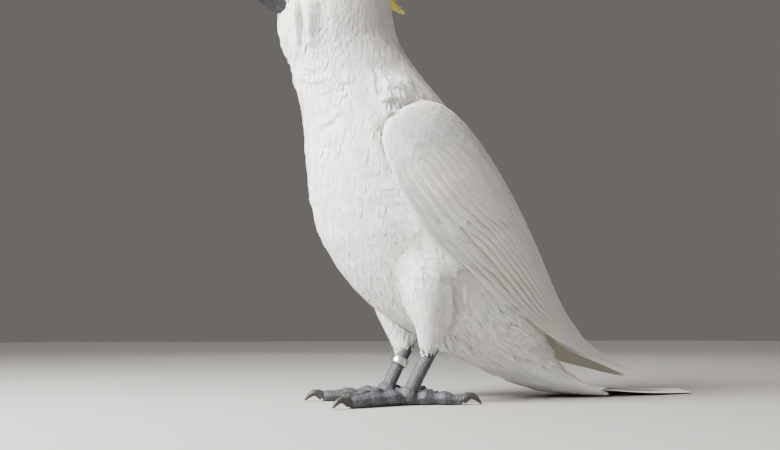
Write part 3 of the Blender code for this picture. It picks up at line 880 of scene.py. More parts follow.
# %% [markdown]
# ## The skin
#
# One skin replaces every node of flesh. It is the fused body and wings, drawn in by the depth of the coat,
# which is thinnest on the face. It shows only in the gaps between feathers.
# %% The skin
skin_mesh = fused(BODY + WINGS + ["tail"], 2.2, 12,
                  keep={"tail": ((70, 0, 10), (1, 0, 0)), "wing_left": WING_CUT, "wing_right": WING_CUT})
skin_surface = Surface(folded(skin_mesh))
coat_depth = np.clip(combed(skin_surface.points, coat)[:, LENGTH] * 0.05, 0.3, 1.35) + 0.25
skin_points = skin_surface.points - skin_surface.normals * coat_depth[:, None]
skin_points[:, 2] = np.maximum(skin_points[:, 2], 6.0)
skin_material = mottled("downy_skin", 0.85, ((0.70, 0.67, 0.63), (0.78, 0.76, 0.72)), 120.0,
                        pits=(700.0, 3.0, 0.5, 0.4), Specular_IOR_Level=0.2)
skin = write_piece("skin", skin_points, skin_surface.triangles, skin_material)
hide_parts(*BODY, *WINGS)

# %% [markdown]
# ## The folded wings
#
# A folded wing is a stack of rows: ten primaries below, the secondaries over them, then the tertials, and
# over their bases the greater, median and lesser coverts. Its long feathers are laid in the wing's own
# coordinates, `s` from shoulder to tip and `t` from the lower to the upper edge, on the solid's face.
# %% The wing's own coordinates
ANKLE_X = -55.6
# from shoulder to tip, for the left wing and from the ankles: lower edge, upper edge
WING_RIBS = [
    ((-58, -49, 203), (-49, -45, 213)),
    ((-60, -52, 192), (-30, -40, 226)),
    ((-53, -57, 167), (-5, -34, 229)),
    ((-41, -59, 141), (21, -25, 217)),
    ((-25, -60, 117), (45, -16, 196)),
    ((2, -59, 91), (68, -9, 168)),
    ((28, -55, 70), (87, -6, 138)),
    ((55, -49, 51), (104, -4, 107)),
    ((84, -43, 37), (119, -3, 79)),
    ((120, -38, 26), (140, -3, 53)),
    ((160, -31, 18), (171, -3, 33)),
    ((198, -23, 13.6), (205, -6, 18.5)),
    ((213, -17, 12.6), (215, -11, 14.0)),
]
ribs = np.array(WING_RIBS, float) + (ANKLE_X, 0, 0)
middles = ribs.mean(1)
rib_place = stations(middles)
WING_LENGTH = rib_place[-1]
rib_place = rib_place / WING_LENGTH


def chord(s, t):
    """A point on the flat chord between the wing's edges."""
    low_edge, high_edge = (read_line(s, rib_place, ribs[:, e]) for e in (0, 1))
    return low_edge + (high_edge - low_edge) * np.asarray(t)[..., None]


def chord_normal(s, t):
    """Away from the body, on the left wing."""
    along = chord(s + 0.01, t) - chord(s - 0.01, t)
    over = chord(s, t + 0.1) - chord(s, t - 0.1)
    return unit(np.cross(along, over)) * np.sign(-np.cross(along, over)[..., 1:2])


# how far the solid's face stands off the chord, read by rays and smoothed
PROBE = 40.0  # mm that each ray starts off the chord
RELIEF_ROUNDS = 6
S_GRID, T_GRID = np.linspace(0.02, 0.985, 60), np.linspace(0.015, 0.985, 25)
s_mesh, t_mesh = np.meshgrid(S_GRID, T_GRID, indexing="ij")
base, outward = chord(s_mesh, t_mesh), chord_normal(s_mesh, t_mesh)
relief = np.zeros(s_mesh.shape)
for i in range(len(S_GRID)):
    for j in range(len(T_GRID)):
        start = Vector(base[i, j] + outward[i, j] * PROBE)
        hit = wings["left"].tree.ray_cast(start, Vector(-outward[i, j]), 1.5 * PROBE)[0]
        relief[i, j] = PROBE - (start - hit).length if hit else 0.0
for _ in range(RELIEF_ROUNDS):
    padded = np.pad(relief, 1, mode="edge")
    relief = (padded[:-2, 1:-1] + padded[2:, 1:-1] + padded[1:-1, :-2] + padded[1:-1, 2:] + 2 * relief) / 6
print("wing length:", round(WING_LENGTH), "mm; relief:", relief.min().round(1), relief.max().round(1))


def relief_at(s, t):
    i = np.interp(s, S_GRID, np.arange(len(S_GRID)))
    j = np.interp(t, T_GRID, np.arange(len(T_GRID)))
    i0, j0 = np.minimum(i.astype(int), len(S_GRID) - 2), np.minimum(j.astype(int), len(T_GRID) - 2)
    a, b = i - i0, j - j0
    return ((relief[i0, j0] * (1 - a) + relief[i0 + 1, j0] * a) * (1 - b)
            + (relief[i0, j0 + 1] * (1 - a) + relief[i0 + 1, j0 + 1] * a) * b)


def on_wing(s, t):
    return chord(s, t) + chord_normal(s, t) * relief_at(s, t)[..., None]


# %% [markdown]
# Every long feather is a closed vane along a line of points. The outer vane is narrow and the inner one
# wide, the shaft is a raised ridge, and each feather is tipped on edge a little, so that its outer edge
# lies over the feather below. The same function makes the tail and the crest.
# %% Long feathers
WORN = 0.012  # how ragged the tip of a long feather is
SHAFT = 0.01  # half width of the shaft, as a share of the vane


def quill_shape(template, half_out, half_in, length, blunt, waves, narrow, rng):
    """Along and lateral for the template: rounded at the tip, with a slightly worn edge."""
    across = template.across
    worn = 1 + WORN * (2 * rng.random(32) - 1)
    column = np.round((across + 1) * 8).astype(int)
    width = np.where(across > 0, half_out, half_in)
    edge = (np.abs(across) ** blunt) * width / length
    along = template.along * (1 - edge * 1.1) * (1 + (worn[column] - 1) * template.along ** 4)
    rise = np.sin(np.clip(template.along / 0.30, 0, 1) * math.pi / 2)
    close = 1 - narrow * np.clip((template.along - 0.72) / 0.28, 0, 1) ** 2.2
    ripple = 1 + waves * np.sin(template.along * (17 + 9 * rng.random()) + 6 * rng.random())
    lateral = across * width * (0.16 + 0.84 * rise) * close * np.where(np.abs(across) > 0.9, ripple, 1)
    return along, lateral


def lay_quill(feathers, line, normals, half_out, half_in, rng, box, roll=0.028, blunt=2.0, thickness=0.45,
              shade=0.97, wash=(0.0, 0.0), template=quill_vane, droop=0.0, room=None, rise=0.0, cling=None,
              shaft=0.35, waves=0.02, hollow=0.02, narrow=0.45):
    """One long feather on a line of points. box is low u, low v, width and height on the bake map."""
    places = stations(line)
    length = places[-1]
    along, lateral = quill_shape(template, half_out, half_in, length, blunt, waves, narrow, rng)
    spot, ahead, behind = (read_line(along * length + step, places, line) for step in (0.0, 1.5, -1.5))
    up = unit(read_line(along * length, places, normals))
    side = unit(np.cross(unit(ahead - behind), up))
    on_shaft = np.abs(template.across) < SHAFT
    ridge = shaft * on_shaft * (1 - template.layer) * (1.05 - along)
    if room is not None:
        inward, outward = (np.interp(along * length, places, side_room) for side_room in room)
        lateral = np.clip(lateral, -np.maximum(inward, 0.3), np.maximum(outward, 0.3))
    camber = -hollow * lateral ** 2 / max(half_in, half_out) - droop * np.abs(lateral)
    lift = roll * lateral + camber + ridge - thickness * (0.35 + 0.65 * (1 - along)) * template.layer
    shares = np.linspace(0, 1, len(line))
    lift = lift + np.interp(along, shares, rise + np.zeros(len(line)))
    points = spot + side * lateral[:, None]
    if cling is not None:  # past the middle of the wing a feather bends round its upper edge
        held = (np.interp(along, shares, cling) * ramp(-lateral, -2.0, 3.0))[:, None]
        hits, facing = wings["left"].nearest(points)
        points = points * (1 - held) + hits * held
        up = unit(up * (1 - held) + facing * held)
    points = points + up * lift[:, None]
    u = box[0] + box[2] * (0.04 + 0.92 * (template.across + 1) / 2)
    v = box[1] + box[3] * (0.02 + 0.46 * template.along + 0.49 * template.layer)
    yellow = wash[0] + (wash[1] - wash[0]) * template.layer
    tone = shade + 0.03 * (rng.random() - 0.5) - 0.10 * on_shaft
    feathers.add(template, points=points[None], bake=np.stack([u, v], -1)[None],
                 vane=np.stack([lateral, along * length], -1)[None], tint=tone[None], wash=yellow[None])


def bake_box(number, count):
    """Feathers stand side by side on their bake map."""
    return (number / count, 0.0, 1.0 / count, 1.0)


# %% [markdown]
# Each row below spreads its feathers evenly between a first and a last one. The rows' levels keep them from
# cutting through one another: the primaries lie lowest and the coverts on top.
# %% The rows of a wing
# name, number, root (s, t) of the first and last, tip (s, t) of the first and last, half widths outer and
# inner, level in the stack, roundness
WING_ROWS = [
    ("primaries", 10, ((0.34, 0.18), (0.34, 0.34)), ((0.955, 0.30), (0.80, 0.52)), (4.5, 9.5), -1.05, 1.7),
    ("secondaries", 11, ((0.20, 0.12), (0.30, 0.62)), ((0.50, 0.14), (0.735, 0.70)), (7.5, 12), -0.55, 2.3),
    ("tertials", 4, ((0.24, 0.66), (0.24, 0.88)), ((0.735, 0.74), (0.60, 0.92)), (10, 10), -0.4, 2.3),
    ("primary_coverts", 8, ((0.14, 0.06), (0.22, 0.20)), ((0.345, 0.07), (0.44, 0.24)), (6, 8.5), -0.3, 2),
    ("greater_coverts", 13, ((0.13, 0.14), (0.15, 0.90)), ((0.335, 0.16), (0.40, 0.90)), (8, 9.5), -0.2, 2),
    ("median_coverts", 14, ((0.09, 0.08), (0.10, 0.92)), ((0.245, 0.10), (0.285, 0.92)), (7, 8), -0.05, 2),
]
QUILLS = sum(row[1] for row in WING_ROWS)
PRIMARY_REACH = [0.945, 0.985, 1.0, 0.99, 0.965, 0.935, 0.905, 0.875, 0.845, 0.815]
QUILL_POINTS = 28  # points along the line of a long feather


def dress_wing(seed):
    """The long feathers of the left wing."""
    draw = np.random.default_rng(seed)
    feathers, number = Feathers(), 0
    for row, count, root_ends, tip_ends, halves, level, blunt in WING_ROWS:
        covert = "coverts" in row
        for k in range(count):
            share = k / (count - 1)
            root, tip = (np.array(first) * (1 - share) + np.array(last) * share
                         for first, last in (root_ends, tip_ends))
            if row == "primaries":
                tip[0] = PRIMARY_REACH[k]
            elif row == "secondaries":
                tip[0] += 0.03 * math.sin(math.pi * share)
            tip[0] += (0.03 if covert else 0.008) * (draw.random() - 0.5)
            u = np.linspace(0, 1, QUILL_POINTS)
            s = root[0] + (tip[0] - root[0]) * u
            t = root[1] + (tip[1] - root[1]) * u ** 1.3
            rise = level - 1.6 * (1 - ramp(u, 0.0, 0.35))  # the root dives under the row before
            taper = 1 - 0.25 * share if row == "primaries" else 1.0
            cling = (1 - ramp(s, 0.80, 0.92)) * ramp(t, 0.30, 0.50)
            chord_width = np.linalg.norm(chord(s, np.ones(len(s))) - chord(s, np.zeros(len(s))), axis=1)
            room = (chord_width * (1 - t) - 0.5, chord_width * t + 1.0)
            lay_quill(feathers, on_wing(s, t), chord_normal(s, t), halves[0] * taper, halves[1] * taper,
                      draw, bake_box(number, QUILLS), blunt=blunt, room=room, rise=rise, cling=cling,
                      hollow=0.008, roll=0.004, thickness=0.14, shaft=0.04 if covert else 0.10,
                      waves=0.008, wash=(0.0, 0.1 if covert else 0.35))
            number += 1
    return feathers


wing_feathers = {"left": dress_wing(21), "right": dress_wing(22).mirrored()}
for side, feathers in wing_feathers.items():
    write_feathers("wing_quills_" + side, feathers, quill_plumage)

# %% [markdown]
# The small coverts at the bend of the wing are too many to list in rows, so they are sown and laid like
# body feathers, on the wing's own surface.
# %% The lesser coverts
WING_STROKES = [
    ((-113, -50, 205), (0.55, -0.15, -0.60), 9.0, 5.5, 2.6, 0.0, 0.15),
    ((-100, -46, 222), (0.85, -0.05, -0.35), 10.0, 6.0, 2.8, 0.0, 0.15),
    ((-112, -54, 175), (0.30, -0.05, -0.92), 12.0, 6.8, 3.1, 0.0, 0.2),
    ((-75, -48, 205), (0.70, 0.05, -0.72), 13.0, 8.0, 3.6, 0.0, 0.1),
    ((-90, -58, 150), (0.45, 0, -0.88), 15.0, 8.0, 3.8, 0.0, 0.3),
    ((-50, -36, 205), (0.72, 0.05, -0.70), 16.0, 9.5, 4.2, 0.0, 0.1),
    ((-60, -54, 150), (0.60, 0, -0.80), 17.0, 9.5, 4.2, 0.0, 0.2),
    ((-30, -26, 195), (0.66, 0.05, -0.75), 20.0, 11.0, 4.6, 0.0, 0.1),
    ((-25, -12, 205), (0.66, 0.05, -0.75), 24.0, 12.5, 5.0, 0.0, 0.1),
    ((5, -12, 160), (0.60, 0.05, -0.80), 28.0, 13.5, 5.4, 0.0, 0.1),
]
wing_coat = stroke_table(WING_STROKES, both_sides=False)
LESSER_END = 0.225  # share of the wing that the lesser coverts reach
wing_way = unit(middles[5] - middles[1])
wing_start, wing_reach = middles[0], WING_LENGTH * LESSER_END


def lesser_area(places):
    """From the bend of the wing back, and further back along its upper edge."""
    reached = (places - wing_start) @ wing_way
    return reached < wing_reach + 50 * ramp(places[:, 1], -36, -8) + 5 * smooth_noise(places, 14.0, 5.0)


def inner_face(normals):
    """The side of the wing that lies against the body."""
    return (normals[:, 1] > 0.35) & (normals[:, 2] < 0.75)


def dress_shoulder(seed):
    return sown_feathers(wings["left"], wing_coat, body_vane, seed, 30000, lesser_area,
                         (middles[5], middles[0]), prune=inner_face, depth=0.03, lift=0.03, ragged=0.008)


shoulders = {"left": dress_shoulder(31), "right": dress_shoulder(32).mirrored()}
for side, feathers in shoulders.items():
    write_feathers("wing_coverts_" + side, feathers)

# %% [markdown]
# Along the front of a resting wing the loose feathers of the flank come out over its edge, and soften it.
# They are laid on the skin's own surface before it was drawn in, which runs on from body to wing.
# %% Flank feathers over the wing's edge
FLANK_STROKES = [
    ((-108, 57, 165), (0.62, -0.05, -0.78), 15.0, 7.5, 3.0, 0.0, 0.4),
    ((-97, 59, 141), (0.66, -0.05, -0.75), 20.0, 9.0, 3.6, 0.0, 0.6),
    ((-82, 60, 117), (0.72, 0.0, -0.70), 24.0, 10.0, 4.0, 0.02, 0.9),
    ((-62, 59, 96), (0.80, 0.0, -0.60), 24.0, 9.0, 4.0, 0.05, 1.0),
]
flank_coat = stroke_table(FLANK_STROKES)
lower_edge = ribs[2:6, 0]


def beside_wing_edge(places):
    """A band in front of the lower edge of either wing."""
    x, y, z = places.T
    ahead = np.interp(-z, -lower_edge[:, 2], lower_edge[:, 0]) - x
    inside = (z > max(lower_edge[-1, 2], 107)) & (z < lower_edge[0, 2])
    return inside & (ahead > -3) & (ahead < 11) & (np.abs(y) > 38)


flank = sown_feathers(skin_surface, flank_coat, body_vane, 35, 40000, beside_wing_edge,
                      ((-60, 0, 80), (-110, 0, 170)), lift=0.4)
write_feathers("flank_feathers", flank)

# %% [markdown]
# ## The tail
#
# Twelve tail feathers lie in a shallow fan, the middle pair on top. Their undersides are washed with
# yellow. Soft coverts hide where they leave the rump, above and below.
# %% Tail quills
TAIL_QUILLS = 12
tail_low, tail_high = (np.array(corner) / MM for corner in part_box("tail"))
tail_root_x, tail_tip_x = tail_low[0] + 6, tail_high[0]


def tail_height(x, y):
    hit = tail_surface.tree.ray_cast(Vector((x, y, 80)), Vector((0, 0, -1)), 100)[0]
    return hit.z if hit else None


tail_piece = Feathers()
draw = np.random.default_rng(41)
middle_pair = (TAIL_QUILLS - 1) / 2
for k in sorted(range(TAIL_QUILLS), key=lambda k: -abs(k - middle_pair)):
    share = (k - middle_pair) / middle_pair
    xs = np.linspace(tail_root_x, tail_tip_x - 9 * abs(share) ** 1.6 - 1.5 * draw.random(), QUILL_POINTS)
    ys = share * np.interp(xs, [tail_root_x, tail_tip_x], [14.0, tail_high[1] - 9.5])
    last, heights = 20.0, []
    for x, y in zip(xs, ys):
        last = tail_height(x, y * 0.9) or last
        heights.append(last)
    zs = np.convolve(np.pad(heights, 2, mode="edge"), np.ones(5) / 5, mode="valid")
    down = 0.25 * abs(k - middle_pair) * np.linspace(0.3, 1, QUILL_POINTS)
    zs = zs - 1.0 - down + 0.9 * np.linspace(0, 1, QUILL_POINTS)
    line = np.stack([xs, ys, np.maximum(zs, 1.1)], -1)
    halves = (6.5, 10.5) if share < 0 else (10.5, 6.5)
    lay_quill(tail_piece, line, np.tile([0.0, 0.0, 1.0], (QUILL_POINTS, 1)), *halves, draw,
              bake_box(k, TAIL_QUILLS), roll=math.copysign(0.03, share), blunt=2.6, thickness=0.6,
              wash=(0.05, 0.75))
tail_feathers = write_feathers("tail_quills", tail_piece, quill_plumage)
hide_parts("tail")

# %% [markdown]
# The long soft coverts of the rump run out over the first part of the tail, and fray at its sides.
# %% Tail coverts
TAIL_STROKES = [
    ((40, 0, 45), (0.9, 0, -0.4), 34.0, 15.0, 6.0, 0.0, 0.2),
    ((60, 20, 24), (0.97, 0.05, -0.22), 34.0, 13.0, 5.6, 0.1, 0.5),
    ((45, 27, 20), (0.98, 0.08, -0.15), 32.0, 11.0, 5.2, 0.2, 0.8),
    ((85, 0, 16), (1, 0, -0.15), 38.0, 15.0, 6.2, 0.0, 0.2),
    ((95, 25, 9), (1, 0.08, -0.08), 34.0, 13.0, 6.0, 0.05, 0.4),
]
tail_coverts = sown_feathers(tail_surface, stroke_table(TAIL_STROKES), body_vane, 43, 9000,
                             lambda p: (p[:, 0] < 78 + 14 * np.cos(p[:, 1] / 12)) & (p[:, 2] > 6),
                             ((120, 0, 4), (30, 0, 30)))
write_feathers("tail_coverts", tail_coverts)

# %% [markdown]
# ## The crest
#
# Folded back, the crest is a bundle of long narrow yellow plumes that lie along the crown, pass the nape
# and curl up at their tips. Short white feathers cover their roots at the forehead.
# %% Crest plumes
# x and z of the bundle's middle, from the ankles, and its half width and thickness
CREST = [(-113, 354, 5, 4.5), (-102.5, 365.5, 9.5, 8), (-83, 371.5, 12.5, 9.5), (-62, 368, 13, 9.5),
         (-48, 357.5, 13, 9), (-40, 344.5, 13.5, 8.5), (-35.5, 330.5, 15, 8), (-31.5, 320, 16.5, 8),
         (-23, 315.5, 16, 7), (-15, 321, 13, 4)]
crest_xz = np.array(CREST)[:, :2] + (ANKLE_X, 0)
CREST_HALF, CREST_THICK = np.array(CREST)[:, 2:].T
crest_place = stations(crest_xz)
crest_place = crest_place / crest_place[-1]


def smooth_line(u, values, places):
    """A smooth curve through a few values, by averaging straight runs."""
    fine = np.linspace(0, 1, 201)
    run = np.interp(fine, places, values)
    for _ in range(3):
        run = np.convolve(np.pad(run, 6, mode="reflect", reflect_type="odd"), np.ones(13) / 13, mode="valid")
    return np.interp(u, fine, run)


def crest_point(u, angle, depth=1.0):
    """Points and outward directions on the bundle: u along it, angle in degrees round it, 0 on top."""
    x, z = (smooth_line(u, values, crest_place) for values in crest_xz.T)
    dx, dz = (smooth_line(np.clip(u + 0.01, 0, 1), values, crest_place)
              - smooth_line(np.clip(u - 0.01, 0, 1), values, crest_place) for values in crest_xz.T)
    slope = np.hypot(dx, dz)
    up = np.stack([-dz / slope, np.zeros_like(dx), dx / slope], -1)
    side = np.array([0.0, 1.0, 0.0])
    turn = np.radians(angle) * np.ones_like(u)
    half, thick = np.interp(u, crest_place, CREST_HALF), np.interp(u, crest_place, CREST_THICK) / 2
    high, wide = (np.cos(turn) * thick)[:, None], (np.sin(turn) * half)[:, None]
    outward = unit(up * (np.cos(turn) / thick)[:, None] + side * (np.sin(turn) / half)[:, None])
    wrap = ramp(u, 0.5, 0.8)[:, None] * 0.035 * (wide * depth) ** 2  # its sides bend round the nape
    place = np.stack([x, 0 * x, z], -1) + (up * high + side * wide) * depth - up * wrap
    hits, facing = body.nearest(place)
    resting = (1 - ramp(u, 0.08, 0.30))[:, None]  # at its start the bundle rests on the crown
    points = place * (1 - resting) + (hits + facing * 0.5) * resting
    return points, unit(outward * (1 - resting) + facing * resting)


# how many, depth in the bundle, widest angle, start, end at the sides, end on top, half width
PLUME_RINGS = [
    (4, 0.30, 90, 0.14, 0.97, 0.95, 5.0),
    (9, 0.65, 160, 0.13, 0.95, 0.84, 5.4),
    (13, 0.95, 150, 0.12, 0.93, 0.62, 5.2),
]
PLUME_POINTS = 30
plume_vane = Vane(16, 8, thick=True)
crest_piece = Feathers()
draw = np.random.default_rng(51)
plume_count, number = sum(ring[0] for ring in PLUME_RINGS), 0
for count, depth, widest, start, side_end, top_end, half in PLUME_RINGS:
    for k in range(count):
        angle = widest * (2 * k / (count - 1) - 1) + 8 * (draw.random() - 0.5)
        top_share = math.cos(math.radians(angle) / 2) ** 4
        end = side_end + (top_end - side_end) * top_share - 0.05 * draw.random()
        u = np.linspace(start, end, PLUME_POINTS)
        line, outward = crest_point(u, angle * (1 - 0.15 * u), depth)
        share = (u - start) / (end - start)
        tip_curl = (1.0 + 2.2 * draw.random()) * np.clip((share - 0.8) / 0.2, 0, 1) ** 2 * (depth > 0.5)
        splay = (draw.random() - 0.25) * share ** 2 * 1.5
        lay_quill(crest_piece, line + outward * (tip_curl + splay)[:, None], outward, half, half, draw,
                  bake_box(number, plume_count), roll=0.03 * np.sign(angle), blunt=1.7, thickness=0.4,
                  shade=0.84 + 0.15 * draw.random(), wash=(1.0, 0.9), droop=0.10 + 0.15 * draw.random(),
                  template=plume_vane, shaft=0.3, rise=0.6 * draw.random() - 0.3, narrow=0.62)
        number += 1
crest_feathers = write_feathers("crest_plumes", crest_piece, crest_plumage)
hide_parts("crest")

# %% [markdown]
# In front the crest starts as rows of short white plumes, each row from under the one before it. The last
# row is laid first, in the order in which they overlap.
# %% The white front of the crest
FRONT_ROWS = [  # start, end, how many, widest angle
    (0.02, 0.16, 7, 80), (0.05, 0.21, 9, 100), (0.09, 0.26, 10, 110),
    (0.13, 0.32, 10, 110), (0.18, 0.38, 9, 100), (0.23, 0.43, 7, 80),
]
FRONT_POINTS = 14
FRONT_HALF = 3.8
short_plume_vane = Vane(12, 6, thick=True)
emerge = -1.6 + 2.9 * np.linspace(0, 1, FRONT_POINTS) ** 0.4  # from under the row before
front_piece = Feathers()
draw = np.random.default_rng(53)
front_count, number = sum(row[2] for row in FRONT_ROWS), 0
for start, end, count, widest in reversed(FRONT_ROWS):
    for k in range(count):
        angle = widest * (2 * k / (count - 1) - 1) + 7 * (draw.random() - 0.5)
        u = np.linspace(start, end - 0.03 * abs(angle) / 90 - 0.04 * draw.random(), FRONT_POINTS)
        lay_quill(front_piece, *crest_point(u, angle), FRONT_HALF, FRONT_HALF, draw,
                  bake_box(number, front_count), blunt=1.8, roll=0.04 * np.sign(angle), thickness=0.3,
                  wash=(0.04, 0.1), droop=0.06, rise=emerge, template=short_plume_vane, shaft=0.1)
        number += 1
write_feathers("crest_front", front_piece)

# %% [markdown]
# ## The cheeks
#
# A cockatoo can bring its cheek feathers forward over the base of the bill. Here they are puffed, so that
# their edge stands as a soft upright rim behind the bill, with small loose feathers on the chin before it.
# %% Cheek rims
CHEEK_STROKES = [
    ((-162, 29, 316), (-0.55, 0.05, -0.85), 9.0, 3.8, 2.2, 0.0, 0.4),
    ((-163, 27, 298), (-0.70, -0.15, -0.75), 11.0, 4.2, 2.4, 0.0, 0.5),
    ((-160, 24, 275), (-0.60, -0.30, -0.80), 13.0, 4.8, 2.6, 0.0, 0.5),
]
cheek_coat = stroke_table(CHEEK_STROKES)
RIM = [(-164, 29, 326), (-168.5, 26, 312), (-169.5, 23, 298), (-168, 21, 281), (-165, 16.5, 265)]
RIM_RANKS = 4
BACKWARD = unit(np.array([0.62, 0.35, 0.62]))
rim_line = np.array(RIM, float)[::-1]
draw = np.random.default_rng(61)
cheeks = Feathers()
for sign in SIDES.values():
    for rank in range(RIM_RANKS):
        heights = np.arange(267 + rank, 325, 2.3)
        heights = heights + 1.4 * draw.random(len(heights))
        rim = read_line(heights, rim_line[:, 2], rim_line)
        roots = body.nearest((rim + BACKWARD * (5.5 + 2.6 * rank)) * (1, sign, 1))[0]
        lay(cheeks, body, roots, cheek_coat, small_vane, draw, ((-140, 0, 255), (-140, 0, 345)),
            stretch=0.8 + 0.1 * rank, lift=1.7 - 0.35 * rank, pointed=0.45)
write_feathers("cheek_feathers", cheeks)

# %% [markdown]
# The border of the bill is never bare. Short bristly feathers of the lores, forehead and chin lap a little
# way over it. They are laid on head and bill fused together, so that they pass from one to the other.
# %% Feathers over the border of the bill
FRINGE_STROKES = [
    ((-168, 0, 352), (-0.75, 0.0, 0.35), 4.4, 1.6, 1.05, 0.0, 0.6),
    ((-170, 17, 345), (-0.85, 0.1, 0.10), 4.6, 1.6, 1.05, 0.0, 0.6),
    ((-170, 24, 330), (-0.85, -0.1, -0.40), 5.4, 1.8, 1.1, 0.0, 0.6),
    ((-172, 22, 315), (-0.80, -0.2, -0.50), 6.4, 2.0, 1.2, 0.0, 0.6),
    ((-178, 0, 303), (-0.60, 0.0, -0.70), 5.2, 2.0, 1.3, 0.0, 0.6),
]
face = Surface(fused(["head"] + BILLS, 1.4, 6))
bill_tree = solids_tree(BILLS)


def beside_bill(places):
    """On the head, within a few millimetres of the bill, and closest under it."""
    head_gap = np.linalg.norm(body.nearest(places)[0] - places, axis=1)
    bill_gap = np.array([bill_tree.find_nearest(Vector(p))[3] for p in places.tolist()])
    widest = 4.0 - 1.6 * ramp(-places[:, 2], -330, -318)
    return (head_gap < 0.8) & (bill_gap < widest) & (bill_gap > 0.3)


fringe = sown_feathers(face, stroke_table(FRINGE_STROKES), small_vane, 65, 60000, beside_bill,
                       ((-140, 0, 330), (-190, 0, 330)), lift=0.2)
write_feathers("face_fringe_feathers", fringe)

# %% [markdown]
# ## Hard parts
#
# Bill, feet and claws keep the solids' shape. Each is remeshed finely, so that its growth lines, scales and
# pits can be pressed into real geometry, which bump alone can't give.
# %% Remeshing a hard part
def fine_part(names, voxel, smoothing, swell=0.0, keep=None):
    mesh = fused(names, voxel, smoothing, swell, keep)
    return *read_mesh(mesh), vertex_normals(mesh)


# %% [markdown]
# The bill is dark horn under a grey powder, which the bird spreads as it preens and which wears off at the
# tip. Its nostrils are pits in the mesh, as a bump wouldn't show from the side.
# %% The bill
bill_material, tree, shader = material_nodes("bill_horn", 0.50, Specular_IOR_Level=0.30)
worn = blend_colours(tree, object_noise(tree, 240.0, 5.0), (0.014, 0.015, 0.017), (0.034, 0.036, 0.041))
powder = maths(tree, "MULTIPLY_ADD", object_noise(tree, 520.0, 6.0), 0.9, attribute(tree, "dust"))
dusty = blend_colours(tree, maths(tree, "SUBTRACT", powder, 0.45), worn, (0.092, 0.097, 0.108))
tree.links.new(dusty, shader.inputs["Base Color"])
bump(tree, shader, object_noise(tree, 900.0, 4.0), 0.35, 0.15)
NOSTRIL = (-168.5, 5.2, 344.0)


def build_bill(name):
    points, triangles, normals = fine_part([name], 0.55, 5)
    from_base = points[:, 0].max() - points[:, 0]
    lines = np.sin(points[:, 0] * 1.3 + 0.8 * points[:, 2] + 5.0 * smooth_noise(points, 9.0, 15.0))
    grain = smooth_noise(points, 2.2, 5.0)
    shift = 0.022 * lines * ramp(from_base, 8, 22) + 0.10 * grain
    worn_tip = ramp(from_base, 22, 44)  # the powder wears off towards the tip
    dust = 0.24 + 0.22 * smooth_noise(points, 16.0, 9.0) + 0.08 * grain + 0.05 * lines - 0.30 * worn_tip
    if name == "upper_bill":
        for side in (-1, 1):
            away = np.linalg.norm(points - np.array(NOSTRIL) * (1, side, 1), axis=1)
            shift += -1.5 * np.exp(-(away / 1.3) ** 2) + 0.5 * np.exp(-((away - 2.6) / 0.9) ** 2)
    points = points + normals * shift[:, None]
    piece = write_piece(name + "_horn", points, triangles, bill_material,
                        attributes=[("dust", np.clip(dust, 0, 1))])
    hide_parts(name)


for name in BILLS:
    build_bill(name)

# %% [markdown]
# The eye is a ball with a bulging clear front. Its iris is so dark that it reads as black, and brown in
# strong light. A bare bluish-white ring of pebbled skin with a thin dark rim holds it.
# %% Eyes
eye_material, tree, shader = material_nodes("eye_dark", 0.06, Specular_IOR_Level=0.6, Coat_Weight=1.0,
                                            Coat_Roughness=0.02)
eye_colour = blend_colours(tree, attribute(tree, "iris"), (0.003, 0.003, 0.003), (0.020, 0.009, 0.005))
tree.links.new(eye_colour, shader.inputs["Base Color"])
ring_material = mottled("eye_ring_skin", 0.6, ((0.33, 0.38, 0.44), (0.54, 0.58, 0.62)), 500.0,
                        mark=("rim", (0.12, 0.125, 0.14)), pits=(1500.0, 3.0, 0.5, 0.15),
                        Specular_IOR_Level=0.35)


def turned_about(profile, centre, direction, steps):
    """Points and triangles of a profile of (radius, height) spun about a direction through centre."""
    bm = bmesh.new()
    verts = [bm.verts.new((r, 0, h)) for r, h in profile]
    edges = [bm.edges.new(pair) for pair in zip(verts, verts[1:])]
    bmesh.ops.spin(bm, geom=verts + edges, axis=(0, 0, 1), cent=(0, 0, 0), steps=steps, angle=2 * math.pi,
                   use_merge=True)
    bmesh.ops.remove_doubles(bm, verts=bm.verts, dist=1e-4)
    turn = Vector(direction).to_track_quat("Z", "Y").to_matrix()
    bmesh.ops.rotate(bm, verts=bm.verts, cent=(0, 0, 0), matrix=turn)
    bmesh.ops.translate(bm, verts=bm.verts, vec=centre)
    outward_triangles(bm)
    triangles = triangle_corners(bm)
    points = np.array([v.co for v in bm.verts])
    bm.free()
    return points, triangles


# radius and height of the bare ring's front and of its hidden back, from a ring round the eye's middle
RING_FRONT = [(4.45, 3.35), (4.6, 3.75), (4.95, 3.95), (5.4, 3.85), (5.9, 3.5), (6.4, 3.1), (6.9, 2.6),
              (7.4, 2.0), (7.8, 1.2), (8.1, 0.0)]
RING_BACK = [(7.2, -0.3), (6.0, 0.6), (4.8, 2.2)]
steps = np.linspace(0, len(RING_FRONT) - 1, 40)
ring_front = read_line(steps, np.arange(len(RING_FRONT)), np.array(RING_FRONT)).tolist()
ring_profile = ring_front + RING_BACK + ring_front[:1]
bulge = [(EYE_RADIUS * math.sin(a), EYE_RADIUS * math.cos(a) + 0.45 * math.exp(-(a / 0.55) ** 2))
         for a in np.linspace(0, math.pi, 25)]


# %% [markdown]
# Both eyes look out sideways and a little forward. The ring's bare skin is wrinkled in rounds and pebbled,
# and those folds are pressed into its mesh, since a camera near the face would see a bump as flat.
# %% Setting the eyes
def eye_aim(side, sign):
    """The middle of an eye and the way it looks."""
    return np.array(eyes[side]), unit(np.array([-0.22, sign, 0.05]))


